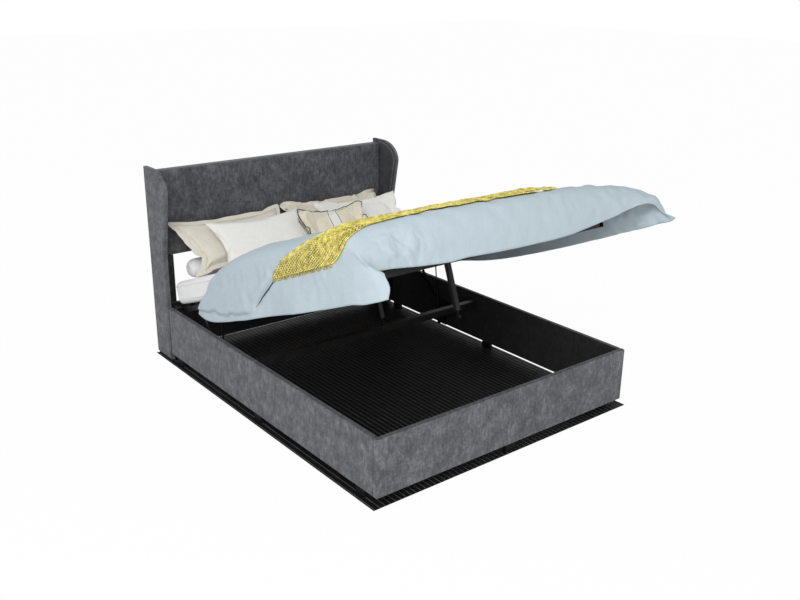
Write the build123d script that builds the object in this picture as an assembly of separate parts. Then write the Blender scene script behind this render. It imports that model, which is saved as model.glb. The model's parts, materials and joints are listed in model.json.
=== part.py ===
"""Ottoman storage bed: an upholstered frame with a winged headboard and a slatted platform
that lifts at the foot on two struts, drawn with the platform raised to its stop.

Frame: X across the bed, +Y towards the headboard, +Z up. The origin is on the floor, midway
between the outer face of the foot panel and the rear of the headboard. Lengths are in mm.
"""
from build123d import *
from math import acos, atan2, cos, degrees, hypot, radians, sin, tan
import os

os.makedirs("parts", exist_ok=True)

# Driving sizes of the bed and its frame
MATTRESS_WIDTH = 1600.0
MATTRESS_LENGTH = 2000.0
MATTRESS_THICK = 138.0
RAIL_THICK = 30.0
RAIL_TOP = 339.0
RAIL_BOTTOM = 41.0
BOARD_EDGE_R = 7.0
HEADBOARD_TOP = 1150.0
HEADBOARD_BOTTOM = 630.0
HEADBOARD_THICK = 76.0
HEADBOARD_EDGE_R = 14.0
BACK_COVER_THICK = 3.0
BACK_COVER_INSET = 12.0
OVERRUN = 5.0
QUARTER_TURN = 90.0

# Headboard wings
WING_TOP = 1172.0
WING_THICK = 30.0
WING_PROUD = 6.0
WING_DEPTH_FLOOR = 188.0
WING_DEPTH_WIDEST = 260.0
WING_WIDEST_Z = 1050.0
WING_TAPER_END_Z = 660.0
WING_TOP_FLAT = 97.0
WING_BEND_R = 220.0
WING_EDGE_R = 6.0
WING_GAP = 3.0

# Posts and low rail behind the mattress
POST_WIDTH = 80.0
POST_THICK = 30.0
HEAD_RAIL_THICK = 25.0
HEAD_RAIL_TOP = 334.0

# Floor mat
MAT_SHEET = 1.6
MAT_RIB_HEIGHT = 2.4
MAT_RIB_WIDTH = 7.0
MAT_RIB_PITCH = 15.0
MAT_SIDE_OVERHANG = 26.0
MAT_FOOT_OVERHANG = 13.0
MAT_HEAD_SETBACK = 25.0

# Feet under the rails
FOOT_LENGTH = 70.0
FOOT_WIDTH = 24.0
FOOT_EDGE_R = 3.0
FOOT_STATION_SHARES = (0.05, 0.5, 0.95)

# Steel plates and bolts
PLATE = 3.0
BRACKET_LEG = 60.0
BRACKET_HEIGHT = 170.0
BRACKET_HEAD_LEG = 66.0
BRACKET_BOLT_SHARES = (0.2, 0.8)
BRACKET_BOLT_REACH_SHARE = 0.6
BOLT_HEAD_R = 7.0
BOLT_HEAD_H = 4.0
TUBE_WALL = 2.0

# Cross beam
BEAM_ALONG = 870.0
BEAM_PLATFORM_GAP = 12.0
BEAM_SIZE = 40.0
BEAM_CUP_LENGTH = 42.0
BEAM_CUP_WALL = 3.0
BEAM_CUP_GAP = 0.4

# Hinge at the head end
HINGE_SETBACK = 230.0
HINGE_ABOVE_RAIL = 1.0
HINGE_PIN_R = 5.0
HINGE_HEAD_R = 9.0
HINGE_HEAD_H = 5.0
HINGE_FIT = 0.08
HINGE_PLATE = 5.0
HINGE_PLATE_WIDTH = 70.0
HINGE_PLATE_LOW = 284.0
HINGE_EAR_R = 21.0
HINGE_SLEEVE_R = 9.0
OPEN_ANGLE = 20.5
TRAVEL_STEPS = 24

# Platform, measured from the hinge: along it towards the foot, and square to it
PLATFORM_MATTRESS_INSET = 25.0
PLATFORM_SIDE_GAP = 45.0
PLATFORM_FOOT_GAP = 16.0
PLATFORM_TUBE_W = 30.0
PLATFORM_TUBE_H = 30.0
PLATFORM_START = 34.0
PLATFORM_FOOT_INSET = 1.0
CENTER_BEAM_W = 50.0
SLAT_COUNT = 13
SLAT_WIDTH = 68.0
SLAT_THICK = 8.0
SLAT_BOW = 6.0
SLAT_END_GAP = 2.0
SLAT_FIT = 0.3
HOLDER_WIDTH = 80.0
HOLDER_REACH = 34.0
HOLDER_WALL = 2.4
EAR_LENGTH = 120.0

# Centre legs under the platform
LEG_SIZE = 25.0
NEAR_LEG_ALONG = 915.0
FAR_LEG_ALONG = 1592.0
LEG_PLATE = 70.0
GLIDE_STEM_R = 5.0
GLIDE_PAD_R = 15.0
GLIDE_PAD_H = 12.0
GLIDE_FLOOR_GAP = 2.0
GLIDE_STEM_SHOWN = 30.0

# Gas struts
STRUT_TUBE_GAP = 14.0
STRUT_LOW_ALONG = 563.0
STRUT_LOW_Z = 58.0
STRUT_TOP_ALONG = 532.0
STRUT_TOP_BELOW = 15.0
STRUT_EYE_R = 11.0
STRUT_EYE_W = 10.0
STRUT_PIN_R = 4.0
STRUT_TUBE_R = 10.0
STRUT_TUBE_BORE = 8.5
STRUT_TUBE_START = 15.0
STRUT_TUBE_SPARE = 16.0
STRUT_GUIDE = 9.0
STRUT_ROD_R = 4.0
STRUT_ROD_FIT = 0.08
STRUT_PISTON_R = 8.2
STRUT_PISTON_H = 6.0
STRUT_FERRULE_H = 9.0
STRUT_FERRULE_R = 5.0
STRUT_END_GAP = 1.8
STRUT_FLOOR = 4.0
STRUT_BOSS_R = 8.0
STRUT_HEAD_R = 7.5
STRUT_HEAD_H = 3.0
STRUT_PLATE_W = 74.0
STRUT_PLATE_H = 44.0
LUG_GAP = 1.0
LUG_PLATE = 2.5
LUG_LENGTH = 78.0
LUG_HEIGHT = 26.0
LUG_SLOT_CLEAR = 1.0
LUG_SLOT_ROUND_SHARE = 0.98

# Sliding stays
STAY_TRACK_GAP = 5.0
STAY_THICK = 4.0
STAY_WIDTH = 20.0
STAY_TOP_ALONG = 327.0
STAY_TOP_BELOW = 15.0
STAY_PIN_ALONG = 530.0
STAY_PIN_Z = 165.0
STAY_TRAVEL = 112.0
STAY_PIN_R = 4.0
STAY_HEAD_R = 7.0
STAY_HEAD_H = 3.0
STAY_BOSS_R = 9.0
STAY_STUD_R = 5.0
TRACK_STAND = 10.0
TRACK_WEB = 3.0
TRACK_CLEAR = 0.8
TRACK_MARGIN = 22.0
TRACK_HEIGHT = 46.0
TRACK_FLANGE = 16.0

# Mattress
MATTRESS_START = -15.0
MATTRESS_CORNER_R = 60.0
MATTRESS_EDGE_R = 28.0
SOFT_GAP = 0.5
SEAT_GAP = 0.3

# Duvet
DUVET_CROWN = 66.0
DUVET_THICK = 26.0
DUVET_HEM = 105.0
DUVET_HEAD_AT_HEM = 335.0
DUVET_HEAD_AT_TOP = 715.0
DUVET_FOOT_FACE = 150.0
DUVET_FOOT_HEM = 24.0
DUVET_SIDE_CLEAR = 8.0
DUVET_BEVEL_SHARE = 0.55
DUVET_FLARE_RISE_SHARE = 0.3
DUVET_FOOT_WAIST_SHARE = 0.45
DUVET_FOOT_SHOULDER_SHARE = 0.72
DUVET_FOOT_FLARE_SHARES = (1.30, 0.60)
DUVET_FOOT_FOLD_SHARES = (1.13, 0.16)
DUVET_FOOT_UNDER_SHARE = 0.9

# Throw across the foot of the duvet
THROW_THICK = 15.0
THROW_GAP = 1.2
THROW_WIDTH = 370.0
THROW_FOOT_INSET = 20.0
THROW_SLANT = 400.0
THROW_RIGHT_END = 420.0
THROW_HEM = 70.0
THROW_WAIST_SHARE = 0.32
THROW_SIDE_SHARE = 2.2
THROW_SHOULDER_SHARES = (0.9, 0.6)

# Pillows
BACK_PILLOW = (780.0, 424.0, 104.0)
BACK_PILLOW_X = 396.0
FLANGE_THICK = 5.0
FLANGE_WIDTH = 28.0
FRONT_PILLOW = (660.0, 360.0, 100.0)
FRONT_PILLOW_X = (-297.0, 470.0)
LUMBAR_CUSHION = (500.0, 293.0, 90.0)
LUMBAR_X = 160.0
PILLOW_DRAW_SHARE = 0.055
PILLOW_LEAN = 31.0
LUMBAR_LEAN = 20.0
PILLOW_STEP = 6.0
LUMBAR_STEP = 15.0
PILLOW_HEADBOARD_GAP = 11.0
BOLSTER_R = 62.0
BOLSTER_LENGTH = 1360.0
BOLSTER_ALONG = 30.0
BOLSTER_EDGE_R = 22.0

# Places that follow from the sizes above
MATTRESS_OUT = MATTRESS_WIDTH / 2
MATTRESS_END = MATTRESS_START + MATTRESS_LENGTH
PLATFORM_HALF_WIDTH = MATTRESS_OUT - PLATFORM_MATTRESS_INSET
PLATFORM_END = MATTRESS_END - PLATFORM_FOOT_INSET
BED_LENGTH = RAIL_THICK + PLATFORM_FOOT_GAP + PLATFORM_END + HINGE_SETBACK
FOOT_Y = -BED_LENGTH / 2
HEAD_Y = BED_LENGTH / 2
RAIL_IN = PLATFORM_HALF_WIDTH + PLATFORM_SIDE_GAP
RAIL_OUT = RAIL_IN + RAIL_THICK
HINGE_Y = HEAD_Y - HINGE_SETBACK
HINGE_Z = RAIL_TOP + HINGE_ABOVE_RAIL
BEAM_Y = HINGE_Y - BEAM_ALONG
BEAM_TOP = HINGE_Z - PLATFORM_TUBE_H - BEAM_PLATFORM_GAP
STRUT_X = PLATFORM_HALF_WIDTH + STRUT_TUBE_GAP
STRUT_LOW_Y = HINGE_Y - STRUT_LOW_ALONG
TRACK_X = RAIL_IN - TRACK_STAND
STAY_X = TRACK_X - STAY_TRACK_GAP
STAY_PIN_Y = HINGE_Y - STAY_PIN_ALONG
STAY_PIN_END_Y = STAY_PIN_Y - STAY_TRAVEL
WING_OUT = RAIL_OUT + WING_PROUD
WING_IN = WING_OUT - WING_THICK
WING_FRONT_Y = HEAD_Y - WING_DEPTH_FLOOR
FLOOR_TOP = MAT_SHEET + MAT_RIB_HEIGHT
PANEL_BACK_Y = HEAD_Y - BACK_COVER_INSET + BACK_COVER_THICK
PANEL_FRONT_Y = PANEL_BACK_Y - HEADBOARD_THICK
POST_BACK_Y = PANEL_FRONT_Y + POST_THICK
HEAD_RAIL_BACK_Y = PANEL_FRONT_Y
HEAD_RAIL_FRONT_Y = HEAD_RAIL_BACK_Y - HEAD_RAIL_THICK
RAIL_START_Y = FOOT_Y + RAIL_THICK
RAIL_END_Y = WING_FRONT_Y - WING_GAP
PLATE_IN = RAIL_IN - PLATE
HINGE_AXIS = Axis((0, HINGE_Y, HINGE_Z), (1, 0, 0))
TUBE_IN = PLATFORM_HALF_WIDTH - PLATFORM_TUBE_W
SLAT_SEAT = 0.0
SLAT_LOW = SLAT_SEAT + HOLDER_WALL + SLAT_FIT
SLAT_TOP = SLAT_LOW + SLAT_THICK + SLAT_BOW
HOLDER_TOP = SLAT_LOW + SLAT_THICK + SLAT_FIT + HOLDER_WALL
MATTRESS_LOW = max(SLAT_TOP, HOLDER_TOP) + SOFT_GAP
MATTRESS_TOP = MATTRESS_LOW + MATTRESS_THICK
LEG_STATIONS = (NEAR_LEG_ALONG, FAR_LEG_ALONG)
LEG_END = HINGE_Z - FLOOR_TOP - GLIDE_FLOOR_GAP - GLIDE_PAD_H - GLIDE_STEM_SHOWN
DUVET_TOP = MATTRESS_TOP + DUVET_CROWN


def save(node, shape):
    """Write one sub-part to its STEP file."""
    export_step(shape, f"parts/{node}.step")


def group(solids):
    """Keep separate solids together in one sub-part."""
    return Compound(children=list(solids))


def block(x, y, z):
    """Box between the pairs of X, Y and Z limits."""
    middle = [(low + high) / 2 for low, high in (x, y, z)]
    sides = [high - low for low, high in (x, y, z)]
    return Pos(*middle) * Box(*sides)


def soft_block(x, y, z, radius):
    """Box with every edge rounded, as on an upholstered board."""
    body = block(x, y, z)
    return fillet(body.edges(), radius)


def rod_x(x, y, z, radius):
    """Round bar along X between two X limits."""
    return Pos((x[0] + x[1]) / 2, y, z) * Rot(0, 90, 0) * Cylinder(radius, x[1] - x[0])


def mirrored(shape):
    """The same piece, or group of solids, on the other side of the bed."""
    solids = [solid.mirror(Plane.YZ) for solid in shape.solids()]
    return solids[0] if len(solids) == 1 else group(solids)


def save_pair(name, right):
    """Write a right-hand piece and its mirror image."""
    save(f"{name}_right", right)
    save(f"{name}_left", mirrored(right))


def along(distance):
    """Y of a point on the flat platform, from its distance to the hinge."""
    return HINGE_Y - distance


def above(height):
    """Z of a point on the flat platform, from its height over the hinge."""
    return HINGE_Z + height


def lifted(shape):
    """Turn a piece of the flat platform up to the open stop."""
    return shape.rotate(HINGE_AXIS, -OPEN_ANGLE)


def lifted_point(distance, height, angle=OPEN_ANGLE):
    """Y and Z of a platform point at a lift angle."""
    turn = radians(angle)
    y = HINGE_Y - distance * cos(turn) + height * sin(turn)
    z = HINGE_Z + distance * sin(turn) + height * cos(turn)
    return y, z


def square_tube(x, y, z, axis, wall=TUBE_WALL):
    """Hollow box section, open at both ends along X or Y."""
    outer = block(x, y, z)
    inner_x, inner_y, inner_z = [(low + wall, high - wall) for low, high in (x, y, z)]
    if axis == "x":
        inner_x = (x[0] - OVERRUN, x[1] + OVERRUN)
    if axis == "y":
        inner_y = (y[0] - OVERRUN, y[1] + OVERRUN)
    if axis == "z":
        inner_z = (z[0] - OVERRUN, z[1] + OVERRUN)
    return outer - block(inner_x, inner_y, inner_z)


# Floor mat

def floor_mat():
    """Ribbed sheet under the bed, with its ribs along the bed."""
    half = RAIL_OUT + MAT_SIDE_OVERHANG
    length = BED_LENGTH + MAT_FOOT_OVERHANG - MAT_HEAD_SETBACK
    ribs = int((2 * half - MAT_RIB_WIDTH) / MAT_RIB_PITCH) + 1
    first = -(ribs - 1) * MAT_RIB_PITCH / 2
    points = [(-half, 0), (half, 0), (half, MAT_SHEET)]
    for index in reversed(range(ribs)):
        middle = first + index * MAT_RIB_PITCH
        left = middle - MAT_RIB_WIDTH / 2
        right = middle + MAT_RIB_WIDTH / 2
        points += [(right, MAT_SHEET), (right, FLOOR_TOP), (left, FLOOR_TOP), (left, MAT_SHEET)]
    points.append((-half, MAT_SHEET))
    profile = make_face(Polyline(*points, close=True))
    sheet = extrude(Plane.XZ * profile, amount=-length)
    return Pos(0, FOOT_Y - MAT_FOOT_OVERHANG, 0) * sheet


# Box frame

def side_rail():
    """Upholstered board on the right, from the foot panel to the wing."""
    return soft_block((RAIL_IN, RAIL_OUT), (RAIL_START_Y, RAIL_END_Y), (RAIL_BOTTOM, RAIL_TOP), BOARD_EDGE_R)


def foot_panel():
    """Upholstered board that closes the foot end and covers the rails' ends."""
    return soft_block(
        (-RAIL_OUT, RAIL_OUT), (FOOT_Y, RAIL_START_Y), (RAIL_BOTTOM, RAIL_TOP), BOARD_EDGE_R
    )


def head_rail():
    """Low board that closes the storage well in front of the headboard posts."""
    return block((-WING_IN, WING_IN), (HEAD_RAIL_FRONT_Y, HEAD_RAIL_BACK_Y), (RAIL_BOTTOM, HEAD_RAIL_TOP))


def rail_feet():
    """Plastic feet under the side rails and the foot panel."""
    feet = []
    z = (FLOOR_TOP, RAIL_BOTTOM)
    middle_x = (RAIL_IN + RAIL_OUT) / 2
    half_w, half_l = FOOT_WIDTH / 2, FOOT_LENGTH / 2
    for share in FOOT_STATION_SHARES:
        y = RAIL_START_Y + share * (RAIL_END_Y - RAIL_START_Y)
        foot = block((middle_x - half_w, middle_x + half_w), (y - half_l, y + half_l), z)
        foot = fillet(foot.edges().filter_by(Axis.Z), FOOT_EDGE_R)
        feet += [foot, mirrored(foot)]
    middle_y = FOOT_Y + RAIL_THICK / 2
    front = block((-half_l, half_l), (middle_y - half_w, middle_y + half_w), z)
    feet.append(fillet(front.edges().filter_by(Axis.Z), FOOT_EDGE_R))
    return group(feet)


# Headboard

def wing():
    """Right wing: a padded board, deepest near its rounded top front corner."""
    front_wide = HEAD_Y - WING_DEPTH_WIDEST
    corner_y = HEAD_Y - WING_TOP_FLAT
    with BuildSketch(Plane.YZ) as outline:
        with BuildLine():
            Polyline(
                (front_wide, WING_WIDEST_Z),
                (WING_FRONT_Y, WING_TAPER_END_Z),
                (WING_FRONT_Y, FLOOR_TOP),
                (HEAD_Y, FLOOR_TOP),
                (HEAD_Y, WING_TOP),
                (corner_y, WING_TOP),
            )
            EllipticalCenterArc(
                (corner_y, WING_WIDEST_Z), corner_y - front_wide, WING_TOP - WING_WIDEST_Z,
                start_angle=QUARTER_TURN, arc_size=QUARTER_TURN,
            )
        make_face()
        bend = outline.vertices().sort_by_distance((WING_FRONT_Y, WING_TAPER_END_Z))[0]
        fillet(bend, WING_BEND_R)
    board = Pos(WING_IN, 0, 0) * extrude(outline.sketch, amount=WING_THICK)
    rims = board.faces().filter_by(Axis.X).edges()
    return fillet(rims, WING_EDGE_R)


def headboard_panel():
    """Padded panel between the wings, open below for its posts."""
    return soft_block(
        (-WING_IN, WING_IN), (PANEL_FRONT_Y, PANEL_BACK_Y - BACK_COVER_THICK),
        (HEADBOARD_BOTTOM, HEADBOARD_TOP), HEADBOARD_EDGE_R,
    )


def headboard_back_cover():
    """Thin cloth-covered board that closes the back of the panel."""
    inset = BACK_COVER_INSET + HEADBOARD_EDGE_R
    return block(
        (-WING_IN + inset, WING_IN - inset), (PANEL_BACK_Y - BACK_COVER_THICK, PANEL_BACK_Y),
        (HEADBOARD_BOTTOM + inset, HEADBOARD_TOP - inset),
    )


def headboard_post():
    """Right post that carries the panel and stands on the floor."""
    return block((WING_IN - POST_WIDTH, WING_IN), (PANEL_FRONT_Y, POST_BACK_Y), (FLOOR_TOP, HEADBOARD_BOTTOM))


# Steel joints of the box frame

def bracket_low():
    """Underside of the corner brackets, midway up the rails."""
    return (RAIL_BOTTOM + RAIL_TOP - BRACKET_HEIGHT) / 2


def foot_corner_bracket():
    """Angle plate in the right foot corner."""
    z = (bracket_low(), bracket_low() + BRACKET_HEIGHT)
    on_rail = block((PLATE_IN, RAIL_IN), (RAIL_START_Y, RAIL_START_Y + BRACKET_LEG), z)
    on_panel = block((RAIL_IN - BRACKET_LEG, RAIL_IN), (RAIL_START_Y, RAIL_START_Y + PLATE), z)
    return on_rail + on_panel


def head_corner_bracket():
    """Angle plate from the rail's end to the low head rail."""
    z = (bracket_low(), bracket_low() + BRACKET_HEIGHT)
    on_rail = block((PLATE_IN, RAIL_IN), (RAIL_END_Y - BRACKET_LEG, HEAD_RAIL_FRONT_Y), z)
    on_head = block(
        (RAIL_IN - BRACKET_HEAD_LEG, RAIL_IN), (HEAD_RAIL_FRONT_Y - PLATE, HEAD_RAIL_FRONT_Y), z
    )
    return on_rail + on_head


def hex_head(direction, point):
    """Bolt head that stands on a plate, along the given direction."""
    sketch = RegularPolygon(BOLT_HEAD_R, 6)
    head = extrude(sketch, amount=BOLT_HEAD_H)
    return Plane(origin=point, z_dir=direction) * head


def frame_bolts():
    """Bolt heads on the corner brackets and the cross beam's cups."""
    heads = []
    for share in BRACKET_BOLT_SHARES:
        z = bracket_low() + share * BRACKET_HEIGHT
        foot_y = RAIL_START_Y + BRACKET_LEG * BRACKET_BOLT_REACH_SHARE
        head_y = RAIL_END_Y - BRACKET_LEG / 2
        leg_x = RAIL_IN - BRACKET_LEG * BRACKET_BOLT_REACH_SHARE
        heads.append(hex_head((-1, 0, 0), (PLATE_IN, foot_y, z)))
        heads.append(hex_head((0, 1, 0), (leg_x, RAIL_START_Y + PLATE, z)))
        heads.append(hex_head((-1, 0, 0), (PLATE_IN, head_y, z)))
        heads.append(hex_head((0, -1, 0), (leg_x, HEAD_RAIL_FRONT_Y - PLATE, z)))
    return group(heads + [mirrored(head) for head in heads])


# Cross beam between the side rails

def beam_limits():
    """Y and Z limits of the beam."""
    return (BEAM_Y - BEAM_SIZE / 2, BEAM_Y + BEAM_SIZE / 2), (BEAM_TOP - BEAM_SIZE, BEAM_TOP)


def cross_beam():
    """Hollow steel beam that carries the closed platform at mid length."""
    y, z = beam_limits()
    end = RAIL_IN - BEAM_CUP_WALL - BEAM_CUP_GAP
    return square_tube((-end, end), y, z, "x")


def beam_cup():
    """Open-topped cup on the right rail, in which the beam's end sits."""
    y, z = beam_limits()
    gap = BEAM_CUP_GAP
    outer_y = (y[0] - gap - BEAM_CUP_WALL, y[1] + gap + BEAM_CUP_WALL)
    outer_z = (z[0] - BEAM_CUP_WALL, z[1] - BEAM_CUP_WALL)
    cup = block((RAIL_IN - BEAM_CUP_LENGTH, RAIL_IN), outer_y, outer_z)
    room_x = (RAIL_IN - BEAM_CUP_LENGTH - OVERRUN, RAIL_IN - BEAM_CUP_WALL)
    room = block(room_x, (y[0] - gap, y[1] + gap), (z[0], z[1] + OVERRUN))
    return cup - room


# Hinge at the head end

def hinge_bracket():
    """Plate on the right rail that rises to the hinge pin."""
    x = (RAIL_IN - HINGE_PLATE, RAIL_IN)
    half = HINGE_PLATE_WIDTH / 2
    foot = block(x, (HINGE_Y - half, HINGE_Y + half), (HINGE_PLATE_LOW, HINGE_Z - HINGE_EAR_R))
    neck = block(x, (HINGE_Y - HINGE_EAR_R, HINGE_Y + HINGE_EAR_R), (HINGE_Z - HINGE_EAR_R, HINGE_Z))
    plate = foot + neck + rod_x(x, HINGE_Y, HINGE_Z, HINGE_EAR_R)
    sleeve_x = (PLATFORM_HALF_WIDTH + HINGE_PLATE + LUG_GAP, RAIL_IN - HINGE_PLATE)
    plate += rod_x(sleeve_x, HINGE_Y, HINGE_Z, HINGE_SLEEVE_R)
    bore = (sleeve_x[0] - OVERRUN, RAIL_IN + OVERRUN)
    return plate - rod_x(bore, HINGE_Y, HINGE_Z, HINGE_PIN_R)


def hinge_pin():
    """Bolt through the bracket and the platform's ear."""
    inner = PLATFORM_HALF_WIDTH - LUG_GAP
    shank = rod_x((inner, RAIL_IN), HINGE_Y, HINGE_Z, HINGE_PIN_R)
    return shank + rod_x((inner - HINGE_HEAD_H, inner), HINGE_Y, HINGE_Z, HINGE_HEAD_R)


def hinge_ear():
    """Arm welded to the platform's side tube, with the hinge bore."""
    x = (PLATFORM_HALF_WIDTH, PLATFORM_HALF_WIDTH + HINGE_PLATE)
    arm = block(x, (along(EAR_LENGTH), along(0)), (above(-PLATFORM_TUBE_H), above(0)))
    ear = arm + rod_x(x, along(0), above(0), HINGE_EAR_R)
    bore = rod_x((x[0] - OVERRUN, x[1] + OVERRUN), along(0), above(0), HINGE_PIN_R + HINGE_FIT)
    return lifted(ear - bore)


# Platform frame and slats

def platform_side_tube():
    """Long steel tube on the right of the platform."""
    y = (along(PLATFORM_END), along(PLATFORM_START))
    return lifted(square_tube((TUBE_IN, PLATFORM_HALF_WIDTH), y, (above(-PLATFORM_TUBE_H), above(0)), "y"))


def platform_end_tube(start):
    """Cross tube of the platform that starts at a distance from the hinge."""
    y = (along(start + PLATFORM_TUBE_W), along(start))
    return lifted(square_tube((-TUBE_IN, TUBE_IN), y, (above(-PLATFORM_TUBE_H), above(0)), "x"))


def platform_center_beam():
    """Middle tube between the end tubes, under the slats' inner ends."""
    y = (along(PLATFORM_END - PLATFORM_TUBE_W), along(PLATFORM_START + PLATFORM_TUBE_W))
    half = CENTER_BEAM_W / 2
    return lifted(square_tube((-half, half), y, (above(-PLATFORM_TUBE_H), above(0)), "y"))


def slat_stations():
    """Distances of the slats' middles from the hinge."""
    first = PLATFORM_START + HOLDER_WIDTH / 2
    pitch = (PLATFORM_END - HOLDER_WIDTH / 2 - first) / (SLAT_COUNT - 1)
    return [first + index * pitch for index in range(SLAT_COUNT)]


def slat_limits():
    """X limits of a slat of the right-hand field."""
    return SLAT_END_GAP, PLATFORM_HALF_WIDTH - SLAT_END_GAP


def slat():
    """Bowed plywood slat of the right-hand field, at the hinge."""
    low_x, high_x = slat_limits()
    middle = (low_x + high_x) / 2
    low, high = SLAT_LOW, SLAT_LOW + SLAT_THICK
    flat = HOLDER_REACH
    with BuildSketch(Plane.XZ) as side:
        with BuildLine():
            Line((low_x, low), (low_x + flat, low))
            ThreePointArc((low_x + flat, low), (middle, low + SLAT_BOW), (high_x - flat, low))
            Polyline(
                (high_x - flat, low), (high_x, low), (high_x, high), (high_x - flat, high)
            )
            ThreePointArc((high_x - flat, high), (middle, high + SLAT_BOW), (low_x + flat, high))
            Polyline((low_x + flat, high), (low_x, high), (low_x, low))
        make_face()
    board = extrude(side.sketch, amount=SLAT_WIDTH)
    return Pos(0, HINGE_Y + SLAT_WIDTH / 2, HINGE_Z) * board


def slats():
    """All slats of the right-hand field."""
    one = slat()
    return group([lifted(Pos(0, -station, 0) * one) for station in slat_stations()])


def slat_holder(outer_x, inner_x):
    """Plastic cap over a slat's end, sitting on its tube."""
    half = HOLDER_WIDTH / 2
    x = (min(outer_x, inner_x), max(outer_x, inner_x))
    cap = block(x, (along(half), along(-half)), (above(SLAT_SEAT), above(HOLDER_TOP)))
    room = SLAT_WIDTH / 2 + SLAT_FIT
    z = (above(SLAT_LOW - SLAT_FIT), above(SLAT_LOW + SLAT_THICK + SLAT_FIT))
    if inner_x < outer_x:
        pocket_x = (inner_x - OVERRUN, outer_x - SLAT_END_GAP + SLAT_FIT)
    else:
        pocket_x = (outer_x + SLAT_END_GAP - SLAT_FIT, inner_x + OVERRUN)
    return cap - block(pocket_x, (along(room), along(-room)), z)


def slat_holders_side():
    """Caps on the right side tube."""
    one = slat_holder(PLATFORM_HALF_WIDTH, PLATFORM_HALF_WIDTH - HOLDER_REACH + SLAT_END_GAP)
    return group([lifted(Pos(0, -station, 0) * one) for station in slat_stations()])


def slat_holders_center():
    """Double caps on the middle tube."""
    one = slat_holder(0, HOLDER_REACH - SLAT_END_GAP)
    pair = one + mirrored(one)
    return group([lifted(Pos(0, -station, 0) * pair) for station in slat_stations()])


# Centre legs

def center_leg(station):
    """Square leg under the middle tube, with the plate that it is screwed on by."""
    half = LEG_SIZE / 2
    top = -PLATFORM_TUBE_H
    y = (along(station + half), along(station - half))
    tube = square_tube((-half, half), y, (above(-LEG_END), above(top - PLATE)), "z")
    wide = LEG_PLATE / 2
    plate_y = (along(station + wide), along(station - wide))
    plate = block((-half, half), plate_y, (above(top - PLATE), above(top)))
    return lifted(tube + plate)


def leg_glide(station):
    """Screw foot in the end of a centre leg."""
    low = FLOOR_TOP + GLIDE_FLOOR_GAP - HINGE_Z
    y, x = along(station), 0
    inner = LEG_SIZE / 2 - TUBE_WALL
    plug = block((-inner, inner), (y - inner, y + inner), (above(-LEG_END), above(-LEG_END + LEG_SIZE)))
    stem_h = -LEG_END - low - GLIDE_PAD_H
    stem = Pos(x, y, above(low + GLIDE_PAD_H + stem_h / 2)) * Cylinder(GLIDE_STEM_R, stem_h)
    pad = Pos(x, y, above(low + GLIDE_PAD_H / 2)) * Cylinder(GLIDE_PAD_R, GLIDE_PAD_H)
    pad = fillet(pad.edges().sort_by(Axis.Z)[0], GLIDE_PAD_H / 4)
    return lifted(plug + stem + pad)


# Gas struts

def strut_line(angle=OPEN_ANGLE):
    """Length of the strut and its slope from +Y, at a lift angle."""
    y, z = lifted_point(STRUT_TOP_ALONG, -STRUT_TOP_BELOW, angle)
    dy, dz = y - STRUT_LOW_Y, z - STRUT_LOW_Z
    return hypot(dy, dz), degrees(atan2(dz, dy))


def strut_rod_length():
    """Length of the rod, which stops just short of the tube's floor when closed."""
    return strut_line(0)[0] - STRUT_TUBE_START - STRUT_FLOOR - STRUT_END_GAP


def strut_tube_top():
    """Distance of the tube's top from its eye, which keeps the piston inside when open."""
    return strut_line()[0] - strut_rod_length() + STRUT_PISTON_H + STRUT_GUIDE + STRUT_TUBE_SPARE


def on_strut(shape):
    """Place a piece modelled along +Z from the lower eye."""
    slope = strut_line()[1]
    return Pos(STRUT_X, STRUT_LOW_Y, STRUT_LOW_Z) * Rot(slope - 90, 0, 0) * shape


def strut_eye(height):
    """Ring on the strut's line at a distance from the lower eye."""
    return Pos(0, 0, height) * Rot(0, 90, 0) * Cylinder(STRUT_EYE_R, STRUT_EYE_W)


def eye_bore(height, radius):
    """Hole through a strut's eye."""
    return Pos(0, 0, height) * Rot(0, 90, 0) * Cylinder(radius, STRUT_EYE_W + OVERRUN)


def strut_cylinder():
    """Pressure tube with its lower eye, bored for the rod."""
    top = strut_tube_top()
    middle = (STRUT_TUBE_START + top) / 2
    tube = Pos(0, 0, middle) * Cylinder(STRUT_TUBE_R, top - STRUT_TUBE_START)
    neck = Pos(0, 0, STRUT_TUBE_START / 2) * Cylinder(STRUT_BOSS_R / 2, STRUT_TUBE_START)
    body = tube + neck + strut_eye(0)
    room_low, room_high = STRUT_TUBE_START + STRUT_FLOOR, top - STRUT_GUIDE
    room = Pos(0, 0, (room_low + room_high) / 2) * Cylinder(STRUT_TUBE_BORE, room_high - room_low)
    guide_r = STRUT_ROD_R + STRUT_ROD_FIT
    guide = Pos(0, 0, top - STRUT_GUIDE / 2) * Cylinder(guide_r, STRUT_GUIDE + OVERRUN)
    bore = eye_bore(0, STRUT_PIN_R + HINGE_FIT)
    return on_strut(body - room - guide - bore)


def strut_rod():
    """Polished rod with its piston, top eye and pin."""
    length = strut_line()[0]
    low = length - strut_rod_length()
    rod = Pos(0, 0, (low + length) / 2) * Cylinder(STRUT_ROD_R, length - low)
    piston = Pos(0, 0, low + STRUT_PISTON_H / 2) * Cylinder(STRUT_PISTON_R, STRUT_PISTON_H)
    ferrule_h = STRUT_FERRULE_H + STRUT_EYE_R
    ferrule = Pos(0, 0, length - ferrule_h / 2) * Cylinder(STRUT_FERRULE_R, ferrule_h)
    bore = eye_bore(length, STRUT_PIN_R)
    return on_strut(rod + piston + ferrule + strut_eye(length) - bore)


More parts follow.
